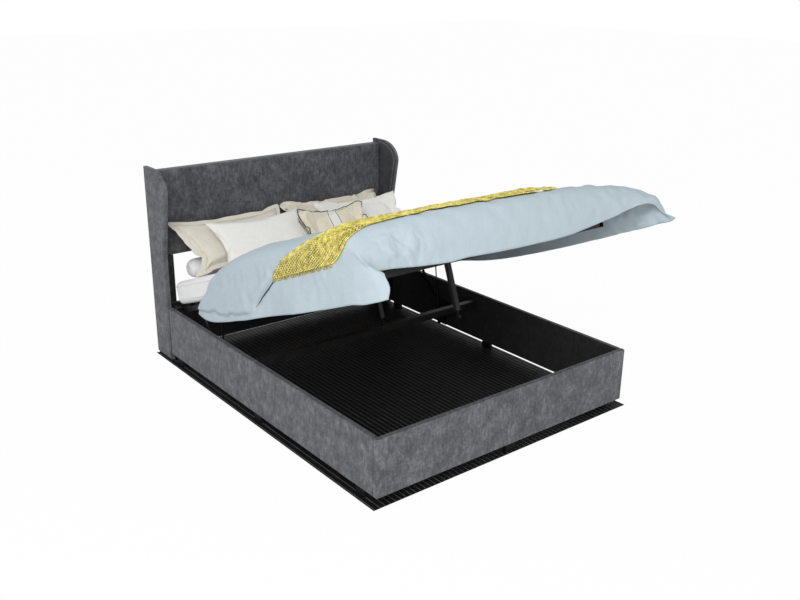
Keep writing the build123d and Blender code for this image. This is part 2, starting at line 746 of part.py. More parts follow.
def strut_top_pin():
    """Pin pressed in the rod's eye, which runs in the lug's slot."""
    y, z = lifted_point(STRUT_TOP_ALONG, -STRUT_TOP_BELOW)
    eye_in, eye_out = STRUT_X - STRUT_EYE_W / 2, STRUT_X + STRUT_EYE_W / 2
    head_in = eye_in - LUG_GAP - LUG_PLATE - LUG_GAP / 2
    shank = rod_x((head_in, eye_out), y, z, STRUT_PIN_R)
    inner = rod_x((head_in - STRUT_HEAD_H, head_in), y, z, STRUT_HEAD_R)
    outer = rod_x((eye_out, eye_out + STRUT_HEAD_H), y, z, STRUT_HEAD_R)
    return shank + inner + outer


def strut_lug():
    """Hat-shaped plate on the side tube, slotted for the rod's pin."""
    web_out = STRUT_X - STRUT_EYE_W / 2 - LUG_GAP
    web = (web_out - LUG_PLATE, web_out)
    half, tall = LUG_LENGTH / 2, LUG_HEIGHT / 2
    y_mid, z_mid = along(STRUT_TOP_ALONG), above(-STRUT_TOP_BELOW)
    z = (z_mid - tall, z_mid + tall)
    plate = block(web, (y_mid - half, y_mid + half), z)
    for sign in (-1, 1):
        edge = y_mid + sign * half
        y = (min(edge, edge - sign * LUG_PLATE), max(edge, edge - sign * LUG_PLATE))
        plate += block((PLATFORM_HALF_WIDTH, web[1]), y, z)
    drift = pin_drift()
    room = STRUT_PIN_R + LUG_SLOT_CLEAR
    low_y, high_y = min(drift[0], 0) - room, max(drift[0], 0) + room
    low_z, high_z = min(drift[1], 0) - room, max(drift[1], 0) + room
    cut_x = (web[0] - OVERRUN, web[1] + OVERRUN)
    slot = block(cut_x, (y_mid + low_y, y_mid + high_y), (z_mid + low_z, z_mid + high_z))
    slot = fillet(slot.edges().filter_by(Axis.X), room * LUG_SLOT_ROUND_SHARE)
    return lifted(plate - slot)


def pin_drift():
    """Furthest place of the rod's pin from the lug's centre over the travel, flat platform."""
    furthest = (0.0, 0.0)
    length_open, slope_open = strut_line(OPEN_ANGLE)
    length_shut, slope_shut = strut_line(0)
    for index in range(TRAVEL_STEPS + 1):
        share = index / TRAVEL_STEPS
        angle = OPEN_ANGLE * (1 - share)
        length = length_open + share * (length_shut - length_open)
        slope = radians(slope_open + share * (slope_shut - slope_open))
        pin_y = STRUT_LOW_Y + length * cos(slope)
        pin_z = STRUT_LOW_Z + length * sin(slope)
        eye_y, eye_z = lifted_point(STRUT_TOP_ALONG, -STRUT_TOP_BELOW, angle)
        dy, dz = pin_y - eye_y, pin_z - eye_z
        turn = radians(angle)
        flat = (dy * cos(turn) - dz * sin(turn), dy * sin(turn) + dz * cos(turn))
        if hypot(*flat) > hypot(*furthest):
            furthest = flat
    return furthest


def strut_bracket():
    """Plate low on the right rail, with the stud for the strut's lower eye."""
    half_w, half_h = STRUT_PLATE_W / 2, STRUT_PLATE_H / 2
    plate_z = max(STRUT_LOW_Z, RAIL_BOTTOM + half_h)
    plate = block(
        (PLATE_IN, RAIL_IN), (STRUT_LOW_Y - half_w, STRUT_LOW_Y + half_w),
        (plate_z - half_h, plate_z + half_h),
    )
    eye_in, eye_out = STRUT_X - STRUT_EYE_W / 2, STRUT_X + STRUT_EYE_W / 2
    boss = rod_x((eye_out + LUG_GAP, PLATE_IN), STRUT_LOW_Y, STRUT_LOW_Z, STRUT_BOSS_R)
    stud = rod_x((eye_in - LUG_GAP, PLATE_IN), STRUT_LOW_Y, STRUT_LOW_Z, STRUT_PIN_R)
    head_x = (eye_in - LUG_GAP - STRUT_HEAD_H, eye_in - LUG_GAP)
    return plate + boss + stud + rod_x(head_x, STRUT_LOW_Y, STRUT_LOW_Z, STRUT_HEAD_R)


# Sliding stays

def stay_line():
    """Length of the stay, and its slope from +Y at the open and the closed stop."""
    top_y, top_z = lifted_point(STAY_TOP_ALONG, -STAY_TOP_BELOW)
    dy, dz = top_y - STAY_PIN_Y, top_z - STAY_PIN_Z
    length = hypot(dy, dz)
    shut_y = lifted_point(STAY_TOP_ALONG, -STAY_TOP_BELOW, 0)[0]
    return length, degrees(atan2(dz, dy)), degrees(acos((shut_y - STAY_PIN_END_Y) / length))


def stay_pin_heights():
    """Lowest and highest place of the stay's pin over the travel."""
    length, slope_open, slope_shut = stay_line()
    heights = []
    for index in range(TRAVEL_STEPS + 1):
        share = index / TRAVEL_STEPS
        slope = radians(slope_open + share * (slope_shut - slope_open))
        top_z = lifted_point(STAY_TOP_ALONG, -STAY_TOP_BELOW, OPEN_ANGLE * (1 - share))[1]
        heights.append(top_z - length * sin(slope))
    return min(heights), max(heights)


def stay_bar():
    """Flat bar from the platform's stud to the track, with its sliding pin."""
    length, slope = stay_line()[:2]
    half = STAY_WIDTH / 2
    bar = Pos(0, 0, length / 2) * Box(STAY_THICK, STAY_WIDTH, length)
    for height in (0, length):
        bar += Pos(0, 0, height) * Rot(0, 90, 0) * Cylinder(half, STAY_THICK)
    bore = STAY_STUD_R + HINGE_FIT
    bar -= Pos(0, 0, length) * Rot(0, 90, 0) * Cylinder(bore, STAY_THICK + OVERRUN)
    bar = Pos(STAY_X, STAY_PIN_Y, STAY_PIN_Z) * Rot(slope - 90, 0, 0) * bar
    face_in, face_out = STAY_X - STAY_THICK / 2, STAY_X + STAY_THICK / 2
    tail = TRACK_X + TRACK_WEB + LUG_GAP
    pin = rod_x((face_out, tail), STAY_PIN_Y, STAY_PIN_Z, STAY_PIN_R)
    keeper = rod_x((tail, tail + STAY_HEAD_H), STAY_PIN_Y, STAY_PIN_Z, STAY_HEAD_R)
    head = rod_x((face_in - STAY_HEAD_H, face_in), STAY_PIN_Y, STAY_PIN_Z, STAY_HEAD_R)
    return bar + pin + keeper + head


def stay_lug():
    """Boss and stud on the side tube that the stay turns on."""
    y, z = along(STAY_TOP_ALONG), above(-STAY_TOP_BELOW)
    face_in, face_out = STAY_X - STAY_THICK / 2, STAY_X + STAY_THICK / 2
    boss = rod_x((PLATFORM_HALF_WIDTH, face_in - LUG_GAP / 2), y, z, STAY_BOSS_R)
    stud = rod_x((PLATFORM_HALF_WIDTH, face_out + LUG_GAP / 2), y, z, STAY_STUD_R)
    keeper_x = (face_out + LUG_GAP / 2, face_out + LUG_GAP / 2 + STAY_HEAD_H)
    return lifted(boss + stud + rod_x(keeper_x, y, z, STAY_BOSS_R))


def stay_track():
    """Hat-shaped plate on the right rail, slotted for the stay's pin."""
    low_y, high_y = STAY_PIN_END_Y - TRACK_MARGIN, STAY_PIN_Y + TRACK_MARGIN
    half = TRACK_HEIGHT / 2
    web = (TRACK_X, TRACK_X + TRACK_WEB)
    z = (STAY_PIN_Z - half, STAY_PIN_Z + half)
    plate = block(web, (low_y, high_y), z)
    for sign in (-1, 1):
        edge = STAY_PIN_Z + sign * half
        wall_z = (min(edge, edge - sign * TRACK_WEB), max(edge, edge - sign * TRACK_WEB))
        flange_z = (min(edge, edge + sign * TRACK_FLANGE), max(edge, edge + sign * TRACK_FLANGE))
        plate += block((TRACK_X, RAIL_IN), (low_y, high_y), wall_z)
        plate += block((PLATE_IN, RAIL_IN), (low_y, high_y), flange_z)
    room = STAY_PIN_R + TRACK_CLEAR
    cut_x = (TRACK_X - OVERRUN, TRACK_X + TRACK_WEB + LUG_GAP / 2)
    low_z, high_z = stay_pin_heights()
    slot = block(cut_x, (STAY_PIN_END_Y - room, STAY_PIN_Y + room), (low_z - room, high_z + room))
    return plate - fillet(slot.edges().filter_by(Axis.X), room)


# Mattress and bedding

def mattress():
    """Foam mattress with rounded corners."""
    z = (above(MATTRESS_LOW), above(MATTRESS_TOP))
    body = block((-MATTRESS_OUT, MATTRESS_OUT), (along(MATTRESS_END), along(MATTRESS_START)), z)
    body = fillet(body.edges().filter_by(Axis.Z), MATTRESS_CORNER_R)
    rims = body.faces().filter_by(Axis.Z).edges()
    return lifted(fillet(rims, MATTRESS_EDGE_R))


def duvet_profile(left_out, left_hem, right_out, right_hem, crown, flare):
    """Closed section of the duvet across the bed: X, and height over the hinge."""
    bevel = MATTRESS_EDGE_R * DUVET_BEVEL_SHARE
    inner_x = MATTRESS_OUT + DUVET_SIDE_CLEAR
    inner_top = MATTRESS_TOP + SOFT_GAP
    top = MATTRESS_TOP + crown
    wall = DUVET_THICK
    waist = MATTRESS_LOW + MATTRESS_THICK / 3
    rise = flare * DUVET_FLARE_RISE_SHARE
    return [
        (-left_out, -left_hem),
        (-MATTRESS_OUT - 2 * wall, waist),
        (-MATTRESS_OUT, top - crown / 4),
        (-MATTRESS_OUT / 2, top),
        (MATTRESS_OUT / 2, top),
        (MATTRESS_OUT, top - crown / 2),
        (MATTRESS_OUT + flare + wall, waist + wall + rise),
        (right_out, -right_hem),
        (right_out - wall, -right_hem),
        (MATTRESS_OUT + flare, waist - wall / 2 + rise),
        (inner_x, MATTRESS_TOP - bevel),
        (MATTRESS_OUT - bevel, inner_top),
        (-MATTRESS_OUT + bevel, inner_top),
        (-inner_x, MATTRESS_TOP - bevel),
        (-inner_x - wall / 4, waist),
        (-left_out + wall, -left_hem),
    ]


def duvet_section(station, points):
    """Face of a duvet section at a distance from the hinge."""
    corners = [(x, along(station), above(height)) for x, height in points]
    return make_face(Polyline(*corners, close=True))


DUVET_STATION_SHARES = (
    (0.05, 1.085, 0.60, 1.120, 0.75, 0.55, 0.055),
    (0.26, 1.115, 0.98, 1.140, 0.95, 0.70, 0.070),
    (0.43, 1.090, 1.00, 1.180, 1.12, 1.00, 0.085),
    (0.52, 1.120, 1.04, 1.190, 1.16, 1.00, 0.080),
    (0.60, 1.088, 1.00, 1.225, 1.14, 1.00, 0.110),
    (0.74, 1.118, 1.03, 1.235, 1.10, 1.00, 0.130),
    (0.86, 1.092, 0.98, 1.290, 1.00, 1.00, 0.165),
    (0.96, 1.120, 1.00, 1.350, 0.90, 0.97, 0.215),
    (1.005, 1.100, 1.00, 1.390, 0.82, 0.93, 0.245),
)


def duvet_body():
    """The duvet over the mattress with its two hanging sides."""
    sections = []
    for row in DUVET_STATION_SHARES:
        station, left_out, left_hem, right_out, right_hem, crown, flare = row
        points = duvet_profile(
            left_out * MATTRESS_OUT, left_hem * DUVET_HEM, right_out * MATTRESS_OUT,
            right_hem * DUVET_HEM, crown * DUVET_CROWN, flare * MATTRESS_OUT,
        )
        sections.append(duvet_section(station * MATTRESS_END, points))
    return loft(sections, ruled=True)


def duvet_foot_profile(left_out, left_hem, right_out, right_hem, crown):
    """Closed section of the duvet beyond the mattress's foot end."""
    top = MATTRESS_TOP + crown
    hem = DUVET_FOOT_HEM
    return [
        (-left_out, -left_hem),
        (-left_out + DUVET_THICK / 4, top * DUVET_FOOT_WAIST_SHARE),
        (-MATTRESS_OUT, top - DUVET_CROWN / 3),
        (-MATTRESS_OUT / 2, top),
        (MATTRESS_OUT / 2, top),
        (MATTRESS_OUT, top * DUVET_FOOT_SHOULDER_SHARE),
        (MATTRESS_OUT * DUVET_FOOT_FLARE_SHARES[0], top * DUVET_FOOT_FLARE_SHARES[1]),
        (right_out, -right_hem),
        (right_out - DUVET_THICK, -right_hem),
        (MATTRESS_OUT * DUVET_FOOT_FOLD_SHARES[0], top * DUVET_FOOT_FOLD_SHARES[1]),
        (MATTRESS_OUT * DUVET_FOOT_UNDER_SHARE, 0),
        (MATTRESS_OUT / 2, -hem),
        (-MATTRESS_OUT * DUVET_FOOT_UNDER_SHARE, -hem / 2),
        (-left_out + DUVET_THICK, -left_hem),
    ]


DUVET_FOOT_SHARES = (
    (0.0, 1.100, 1.00, 1.390, 0.82, 0.93),
    (0.5, 1.085, 0.97, 1.430, 0.80, 0.60),
    (1.0, 1.040, 0.92, 1.440, 0.80, 0.05),
)


def duvet_foot():
    """The part of the duvet that hangs past the foot end."""
    start = MATTRESS_END + SOFT_GAP * 2
    sections = []
    for reach, left_out, left_hem, right_out, right_hem, crown in DUVET_FOOT_SHARES:
        points = duvet_foot_profile(
            left_out * MATTRESS_OUT, left_hem * DUVET_HEM, right_out * MATTRESS_OUT,
            right_hem * DUVET_HEM, crown * DUVET_CROWN,
        )
        sections.append(duvet_section(start + reach * DUVET_FOOT_FACE, points))
    return loft(sections, ruled=True)


def duvet():
    """Whole duvet, with its head edge cut on a slant."""
    body = duvet_body() + duvet_foot()
    rise = DUVET_TOP + DUVET_HEM
    run = DUVET_HEAD_AT_TOP - DUVET_HEAD_AT_HEM
    low, high = -2 * DUVET_HEM, 2 * DUVET_TOP
    far = -MATTRESS_OUT

    def edge(height):
        return along(DUVET_HEAD_AT_HEM + (height + DUVET_HEM) * run / rise)

    cut = make_face(Plane.YZ * Polyline(
        (edge(low), above(low)), (edge(high), above(high)),
        (along(far), above(high)), (along(far), above(low)), close=True,
    ))
    wide = 2 * MATTRESS_WIDTH
    keep_out = Pos(-wide / 2, 0, 0) * extrude(cut, amount=wide, dir=(1, 0, 0))
    return lifted(body - keep_out)


def throw_band():
    """Knitted band that follows the duvet's left side and top, along the whole bed."""
    gap = THROW_GAP
    waist = MATTRESS_LOW + MATTRESS_THICK * THROW_WAIST_SHARE
    side = MATTRESS_OUT + DUVET_THICK * THROW_SIDE_SHARE
    shoulder = DUVET_TOP - DUVET_CROWN / 4
    lower = max(THROW_HEM, waist)
    low_x = side - (lower - waist) * (side - MATTRESS_OUT) / (shoulder - waist)
    out_share, up_share = THROW_SHOULDER_SHARES

    def ring(offset):
        return [
            (-low_x - offset, lower),
            (-MATTRESS_OUT - out_share * offset, shoulder + up_share * offset),
            (-MATTRESS_OUT / 2, DUVET_TOP + offset),
            (THROW_RIGHT_END, DUVET_TOP + offset),
        ]

    outline = ring(gap) + list(reversed(ring(gap + THROW_THICK)))
    corners = [(x, 0, above(height)) for x, height in outline]
    face = make_face(Polyline(*corners, close=True))
    band = extrude(face, amount=MATTRESS_END, dir=(0, -1, 0))
    return Pos(0, along(0), 0) * band


def throw():
    """The band cut to the throw's slanted shape: across the top, then down the left side."""
    band = throw_band()
    foot = MATTRESS_END - THROW_FOOT_INSET
    head = foot - THROW_WIDTH
    top_cut = block(
        (-MATTRESS_OUT, THROW_RIGHT_END + OVERRUN), (along(foot), along(head)),
        (above(MATTRESS_TOP), above(2 * DUVET_TOP)),
    )
    low, high = THROW_HEM - OVERRUN, DUVET_TOP + 2 * THROW_THICK
    slant = Polyline(
        (along(foot), above(high)), (along(foot - THROW_SLANT), above(low)),
        (along(head - THROW_SLANT), above(low)), (along(head), above(high)), close=True,
    )
    reach = 2 * THROW_WIDTH
    side_cut = extrude(make_face(Plane.YZ * slant), amount=reach, dir=(1, 0, 0))
    side_cut = Pos(-MATTRESS_OUT - reach, 0, 0) * side_cut
    return lifted((band & top_cut) + (band & side_cut))


def pillow_outline(width, height, draw, place):
    """Four-sided outline whose sides pull in between its corners."""
    half_w, half_h = width / 2, height / 2
    pull_x, pull_y = draw * height, draw * height
    corners = [(-half_w, -half_h), (half_w, -half_h), (half_w, half_h), (-half_w, half_h)]
    middles = [(0, -half_h + pull_y), (half_w - pull_x, 0), (0, half_h - pull_y), (-half_w + pull_x, 0)]
    arcs = []
    for index in range(4):
        arcs.append(ThreePointArc(corners[index], middles[index], corners[(index + 1) % 4]))
    return Plane(origin=(0, 0, place)) * make_face(arcs)


CROWN_SHARES = (
    (1.0, 0.0, 1.0),
    (0.985, 0.22, 0.9),
    (0.935, 0.48, 0.7),
    (0.83, 0.74, 0.5),
    (0.64, 0.92, 0.3),
    (0.32, 1.0, 0.1),
)


def crowned(width, height, thick):
    """Filled cushion: thin at its edge, thick in the middle."""
    sections = []
    for size, place, draw in CROWN_SHARES:
        pull = PILLOW_DRAW_SHARE * draw
        sections.append(pillow_outline(width * size, height * size, pull, place * thick / 2))
    half = loft(sections, ruled=True)
    return half + half.mirror(Plane.XY)


def flanged(width, height, thick):
    """Cushion with a flat flange all round."""
    core = crowned(width - 2 * FLANGE_WIDTH, height - 2 * FLANGE_WIDTH, thick)
    rim = extrude(pillow_outline(width, height, PILLOW_DRAW_SHARE, -FLANGE_THICK / 2), amount=FLANGE_THICK)
    return core + rim


def stood(cushion, height, slope, middle_x, base):
    """Stand a cushion on the mattress, leaning towards the headboard."""
    upright = Rot(90 - slope, 0, 0) * cushion
    rise = MATTRESS_TOP + SEAT_GAP - upright.bounding_box().min.Z
    run = base - height / 2 * sin(radians(slope))
    return lifted(Pos(middle_x, along(run), above(rise)) * upright)


def pillow_bases():
    """Distances from the hinge of the three rows of cushions, back to front."""
    lean, turn, slope = radians(PILLOW_LEAN), radians(OPEN_ANGLE), radians(LUMBAR_LEAN)
    top = MATTRESS_TOP + BACK_PILLOW[1] * cos(lean)
    reach = PANEL_FRONT_Y - PILLOW_HEADBOARD_GAP - HINGE_Y
    back = (top * sin(turn) - reach) / cos(turn) + BACK_PILLOW[1] * sin(lean)
    front = back + ((BACK_PILLOW[2] + FRONT_PILLOW[2]) / 2 + PILLOW_STEP) / cos(lean)
    half = LUMBAR_CUSHION[1] / 2
    face = front - half * cos(slope) * tan(lean) + FRONT_PILLOW[2] / 2 / cos(lean)
    lumbar = face + LUMBAR_CUSHION[2] / 2 / cos(slope) + half * sin(slope) + LUMBAR_STEP
    return back, front, lumbar


def bolster():
    """Round bolster along the head end of the mattress."""
    roll = Rot(0, 90, 0) * Cylinder(BOLSTER_R, BOLSTER_LENGTH)
    roll = fillet(roll.edges().filter_by(GeomType.CIRCLE), BOLSTER_EDGE_R)
    place = Pos(0, along(BOLSTER_ALONG), above(MATTRESS_TOP + SOFT_GAP + BOLSTER_R))
    return lifted(place * roll)


def save_frame():
    """Write the box frame, the headboard and their steel joints."""
    save("floor_mat", floor_mat())
    save_pair("side_rail", side_rail())
    save("foot_panel", foot_panel())
    save("head_rail", head_rail())
    save("rail_feet", rail_feet())
    save_pair("headboard_wing", wing())
    save("headboard_panel", headboard_panel())
    save("headboard_back_cover", headboard_back_cover())
    save_pair("headboard_post", headboard_post())
    brackets = [foot_corner_bracket(), head_corner_bracket()]
    save("corner_brackets", group(brackets + [mirrored(plate) for plate in brackets]))
    save("frame_bolts", frame_bolts())
    save("cross_beam", cross_beam())
    save_pair("beam_cup", beam_cup())
    save_pair("hinge_bracket", hinge_bracket())
    save("hinge_pins", group([hinge_pin(), mirrored(hinge_pin())]))
    save_pair("strut_bracket", strut_bracket())
    save_pair("stay_track", stay_track())


def save_platform():
    """Write the lifting platform and its fittings."""
    save_pair("platform_side_tube", platform_side_tube())
    save("platform_head_tube", platform_end_tube(PLATFORM_START))
    save("platform_foot_tube", platform_end_tube(PLATFORM_END - PLATFORM_TUBE_W))
    save("platform_center_beam", platform_center_beam())
    save_pair("slats", slats())
    save_pair("slat_holders", slat_holders_side())
    save("slat_holders_center", slat_holders_center())
    save("center_legs", group([center_leg(station) for station in LEG_STATIONS]))
    save("leg_glides", group([leg_glide(station) for station in LEG_STATIONS]))
    save_pair("hinge_ear", hinge_ear())
    save_pair("strut_lug", strut_lug())
    save_pair("stay_lug", stay_lug())


def save_struts():
    """Write the gas struts and the sliding stays."""
    save_pair("strut_cylinder", strut_cylinder())
    save_pair("strut_rod", strut_rod())
    save_pair("strut_top_pin", strut_top_pin())
    save_pair("stay_bar", stay_bar())


def save_bedding():
    """Write the mattress, the covers and the cushions."""
    save("mattress", mattress())
    save("duvet", duvet())
    save("throw", throw())
    save("bolster", bolster())
    back, front, lumbar = pillow_bases()
    for side, sign in (("left", -1), ("right", 1)):
        cushion = flanged(*BACK_PILLOW)
        save(f"back_pillow_{side}", stood(cushion, BACK_PILLOW[1], PILLOW_LEAN, sign * BACK_PILLOW_X, back))
    for side, middle_x in zip(("left", "right"), FRONT_PILLOW_X):
        cushion = crowned(*FRONT_PILLOW)
        save(f"front_pillow_{side}", stood(cushion, FRONT_PILLOW[1], PILLOW_LEAN, middle_x, front))
    cushion = crowned(*LUMBAR_CUSHION)
    save("lumbar_cushion", stood(cushion, LUMBAR_CUSHION[1], LUMBAR_LEAN, LUMBAR_X, lumbar))


save_frame()
save_platform()
save_struts()
save_bedding()
length_open, slope_open = strut_line(OPEN_ANGLE)
length_shut, slope_shut = strut_line(0)
print("strut open", length_open, slope_open, "shut", length_shut, slope_shut)
print("strut pin drift", pin_drift())
print("stay", stay_line(), stay_pin_heights())
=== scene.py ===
import json
import math

import bmesh
import bpy
import numpy as np
from mathutils import Matrix, Vector, noise


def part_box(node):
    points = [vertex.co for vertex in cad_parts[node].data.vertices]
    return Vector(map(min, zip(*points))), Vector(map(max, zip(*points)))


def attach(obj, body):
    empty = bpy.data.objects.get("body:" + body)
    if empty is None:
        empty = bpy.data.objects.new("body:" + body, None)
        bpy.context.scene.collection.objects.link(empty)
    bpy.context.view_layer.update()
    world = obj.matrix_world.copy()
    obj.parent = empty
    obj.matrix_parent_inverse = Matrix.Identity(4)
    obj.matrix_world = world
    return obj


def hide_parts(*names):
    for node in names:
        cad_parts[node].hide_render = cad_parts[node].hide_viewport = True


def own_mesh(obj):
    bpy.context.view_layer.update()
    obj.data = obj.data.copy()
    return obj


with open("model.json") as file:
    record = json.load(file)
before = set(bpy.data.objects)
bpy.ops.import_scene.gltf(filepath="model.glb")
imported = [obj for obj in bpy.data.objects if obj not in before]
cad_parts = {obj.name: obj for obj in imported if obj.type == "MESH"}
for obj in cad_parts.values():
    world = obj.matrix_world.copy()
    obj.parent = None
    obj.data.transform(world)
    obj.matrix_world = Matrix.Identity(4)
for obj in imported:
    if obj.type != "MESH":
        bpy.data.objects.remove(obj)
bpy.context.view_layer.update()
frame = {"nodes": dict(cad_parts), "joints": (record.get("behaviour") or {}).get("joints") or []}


# The view. A plain pale studio, with the camera where the photograph was taken from and two
# broad soft lamps: one high at the front left, and a weaker one low in front of the bed.

FOCAL_LENGTH_PX = 914.86
PHOTO_WIDTH_PX = 800
SENSOR_MM = 36.0
CAMERA_PLACE = Vector((-2.9987, -3.9458, 2.2680))
CAMERA_TURN = math.radians(38.852)
CAMERA_DROP = math.radians(19.818)
CAMERA_ROLL = math.radians(0.7325)
CAMERA_REACH = 60
WORLD_GREY = 0.56
FLOOR_GREY = 0.85
FLOOR_REACH = 30.0
FLOOR_DROP = 0.001
BACKDROP_SHARE = 0.97


def aim_camera():
    camera = bpy.data.objects.new("camera", bpy.data.cameras.new("camera"))
    bpy.context.scene.collection.objects.link(camera)
    forward = Vector((
        math.sin(CAMERA_TURN) * math.cos(CAMERA_DROP),
        math.cos(CAMERA_TURN) * math.cos(CAMERA_DROP),
        -math.sin(CAMERA_DROP),
    ))
    level = forward.cross(Vector((0, 0, 1))).normalized()
    upright = level.cross(forward)
    right = level * math.cos(CAMERA_ROLL) + upright * math.sin(CAMERA_ROLL)
    top = upright * math.cos(CAMERA_ROLL) - level * math.sin(CAMERA_ROLL)
    turn = Matrix((right, top, -forward)).transposed().to_4x4()
    camera.matrix_world = Matrix.Translation(CAMERA_PLACE) @ turn
    camera.data.sensor_width = SENSOR_MM
    camera.data.lens = FOCAL_LENGTH_PX / PHOTO_WIDTH_PX * SENSOR_MM
    camera.data.clip_end = CAMERA_REACH
    bpy.context.scene.camera = camera


def hang_lamp(name, place, target, size, watts):
    lamp = bpy.data.lights.new(name, "AREA")
    lamp.shape = "SQUARE"
    lamp.size = size
    lamp.energy = watts
    holder = bpy.data.objects.new(name, lamp)
    bpy.context.scene.collection.objects.link(holder)
    holder.location = place
    holder.rotation_euler = (Vector(target) - Vector(place)).to_track_quat("-Z", "Y").to_euler()


def channels(value):
    """Four channels from a grey or from red, green and blue; a socket stays as it is."""
    if isinstance(value, bpy.types.NodeSocket):
        return value
    return (*value, 1) if isinstance(value, tuple) else (value, value, value, 1)


class Tree:
    """A node tree, with short calls that add its nodes and link them."""

    def __init__(self, tree):
        self.tree = tree

    def add(self, kind, fed=None, **settings):
        """A node with its settings, and with numbers or other sockets fed to its inputs."""
        node = self.tree.nodes.new(kind)
        for name, value in settings.items():
            setattr(node, name, value)
        for key, value in (fed or {}).items():
            self.feed(node.inputs[key], value)
        return node

    def feed(self, socket, value):
        if isinstance(value, bpy.types.NodeSocket):
            self.tree.links.new(value, socket)
        else:
            socket.default_value = value

    def math(self, operation, first, second=0.0):
        return self.add("ShaderNodeMath", {0: first, 1: second}, operation=operation).outputs[0]

    def noise(self, vector, scale, detail=4.0, rough=0.55):
        fed = {"Vector": vector, "Scale": scale, "Detail": detail, "Roughness": rough}
        return self.add("ShaderNodeTexNoise", fed).outputs["Fac"]


def seen_directly(tree):
    """One where the ray comes from the camera, a mirror or glass."""
    path = tree.add("ShaderNodeLightPath").outputs
    mirrored = tree.math("MAXIMUM", path["Is Camera Ray"], path["Is Glossy Ray"])
    return tree.math("MAXIMUM", mirrored, path["Is Transmission Ray"])


def light_world():
    world = bpy.data.worlds.new("studio")
    bpy.context.scene.world = world
    world.use_nodes = True
    world.node_tree.nodes.clear()
    tree = Tree(world.node_tree)
    room = tree.add("ShaderNodeBackground", {"Color": channels(WORLD_GREY)})
    white = tree.add("ShaderNodeBackground", {"Color": channels(1)})
    fed = {0: seen_directly(tree), 1: room.outputs[0], 2: white.outputs[0]}
    tree.add("ShaderNodeOutputWorld", {"Surface": tree.add("ShaderNodeMixShader", fed).outputs[0]})


def lay_floor():
    mesh = bpy.data.meshes.new("studio_floor")
    plan = ((-1, -1), (1, -1), (1, 1), (-1, 1))
    mesh.from_pydata([(x * FLOOR_REACH, y * FLOOR_REACH, -FLOOR_DROP) for x, y in plan], [], [(0, 1, 2, 3)])
    floor = bpy.data.objects.new("studio_floor", mesh)
    bpy.context.scene.collection.objects.link(floor)
    material = bpy.data.materials.new("studio_floor")
    material.use_nodes = True
    material.node_tree.nodes.clear()
    tree = Tree(material.node_tree)
    plain = tree.add("ShaderNodeBsdfDiffuse", {"Color": channels(FLOOR_GREY)})
    glow = tree.add("ShaderNodeEmission", {"Color": channels(1)})
    share = tree.math("MULTIPLY", seen_directly(tree), BACKDROP_SHARE)
    mix = tree.add("ShaderNodeMixShader", {0: share, 1: plain.outputs[0], 2: glow.outputs[0]})
    tree.add("ShaderNodeOutputMaterial", {"Surface": mix.outputs[0]})
    mesh.materials.append(material)


bpy.context.scene.view_settings.view_transform = "Standard"
aim_camera()
hang_lamp("key_lamp", (-4.2, -3.6, 4.6), (0, -0.2, 0.5), size=3.6, watts=250)
hang_lamp("fill_lamp", (-0.6, -6.4, 1.0), (0.4, 0, 0.6), size=2.4, watts=42)
light_world()
lay_floor()


# Floor mat. Black rubber, ribbed along the bed. Every second rib gets a painted highlight
# along its top, paler in blotches, and the grooves get painted shade; the others stay black.
# The sheet itself comes from the frame.

class Shader(Tree):
    """A material's node tree, with the nodes that the finishes share."""

    def __init__(self, name):
        self.material = bpy.data.materials.new(name)
        self.material.use_nodes = True
        super().__init__(self.material.node_tree)
        self.surface = self.tree.nodes["Principled BSDF"]

    def place(self, scale=(1, 1, 1), source="Object"):
        """Object coordinates, or the piece's own UV map in metres, stretched."""
        start = self.add("ShaderNodeTexCoord").outputs[source]
        return self.add("ShaderNodeMapping", {"Vector": start, "Scale": scale}).outputs["Vector"]

    def axes(self, vector):
        return self.add("ShaderNodeSeparateXYZ", {0: vector}).outputs

    def ramp(self, value, *stops):
        """Colours or greys that follow each other as a value goes from 0 to 1."""
        node = self.add("ShaderNodeValToRGB", {"Fac": value})
        elements = node.color_ramp.elements
        while len(elements) < len(stops):
            elements.new(0.5)
        for element, (position, color) in zip(elements, stops):
            element.position = position
            element.color = channels(color)
        return node.outputs["Color"]

    def mix(self, share, first, second, blend="MIX"):
        fed = {0: share, 6: channels(first), 7: channels(second)}
        return self.add("ShaderNodeMix", fed, data_type="RGBA", blend_type=blend).outputs[2]

    def group(self, tree, **values):
        return self.add("ShaderNodeGroup", values, node_tree=tree).outputs

    def bump(self, height, strength, distance):
        fed = {"Strength": strength, "Distance": distance, "Height": height}
        return self.add("ShaderNodeBump", fed).outputs["Normal"]

    def finish(self, color, roughness, normal=None, **plain):
        """The material, with any further sockets of the surface set to plain numbers."""
        self.feed(self.surface.inputs["Base Color"], channels(color))
        self.feed(self.surface.inputs["Roughness"], roughness)
        if normal is not None:
            self.feed(self.surface.inputs["Normal"], normal)
        sockets = {socket.name.lower(): socket for socket in self.surface.inputs}
        for name, value in plain.items():
            sockets[name.replace("_", " ")].default_value = value
        return self.material


def new_group(kind, name, inputs, outputs):
    """A node group whose sockets are given with their kind, or with the number they start at."""
    tree = bpy.data.node_groups.new(name, kind)
    for way, sockets in (("INPUT", inputs), ("OUTPUT", outputs)):
        for label, value in sockets.items():
            number = not isinstance(value, str)
            socket_type = "NodeSocketFloat" if number else f"NodeSocket{value}"
            item = tree.interface.new_socket(label, in_out=way, socket_type=socket_type)
            if number:
                item.default_value = value
    work = Tree(tree)
    return work, work.add("NodeGroupInput").outputs, work.add("NodeGroupOutput").inputs


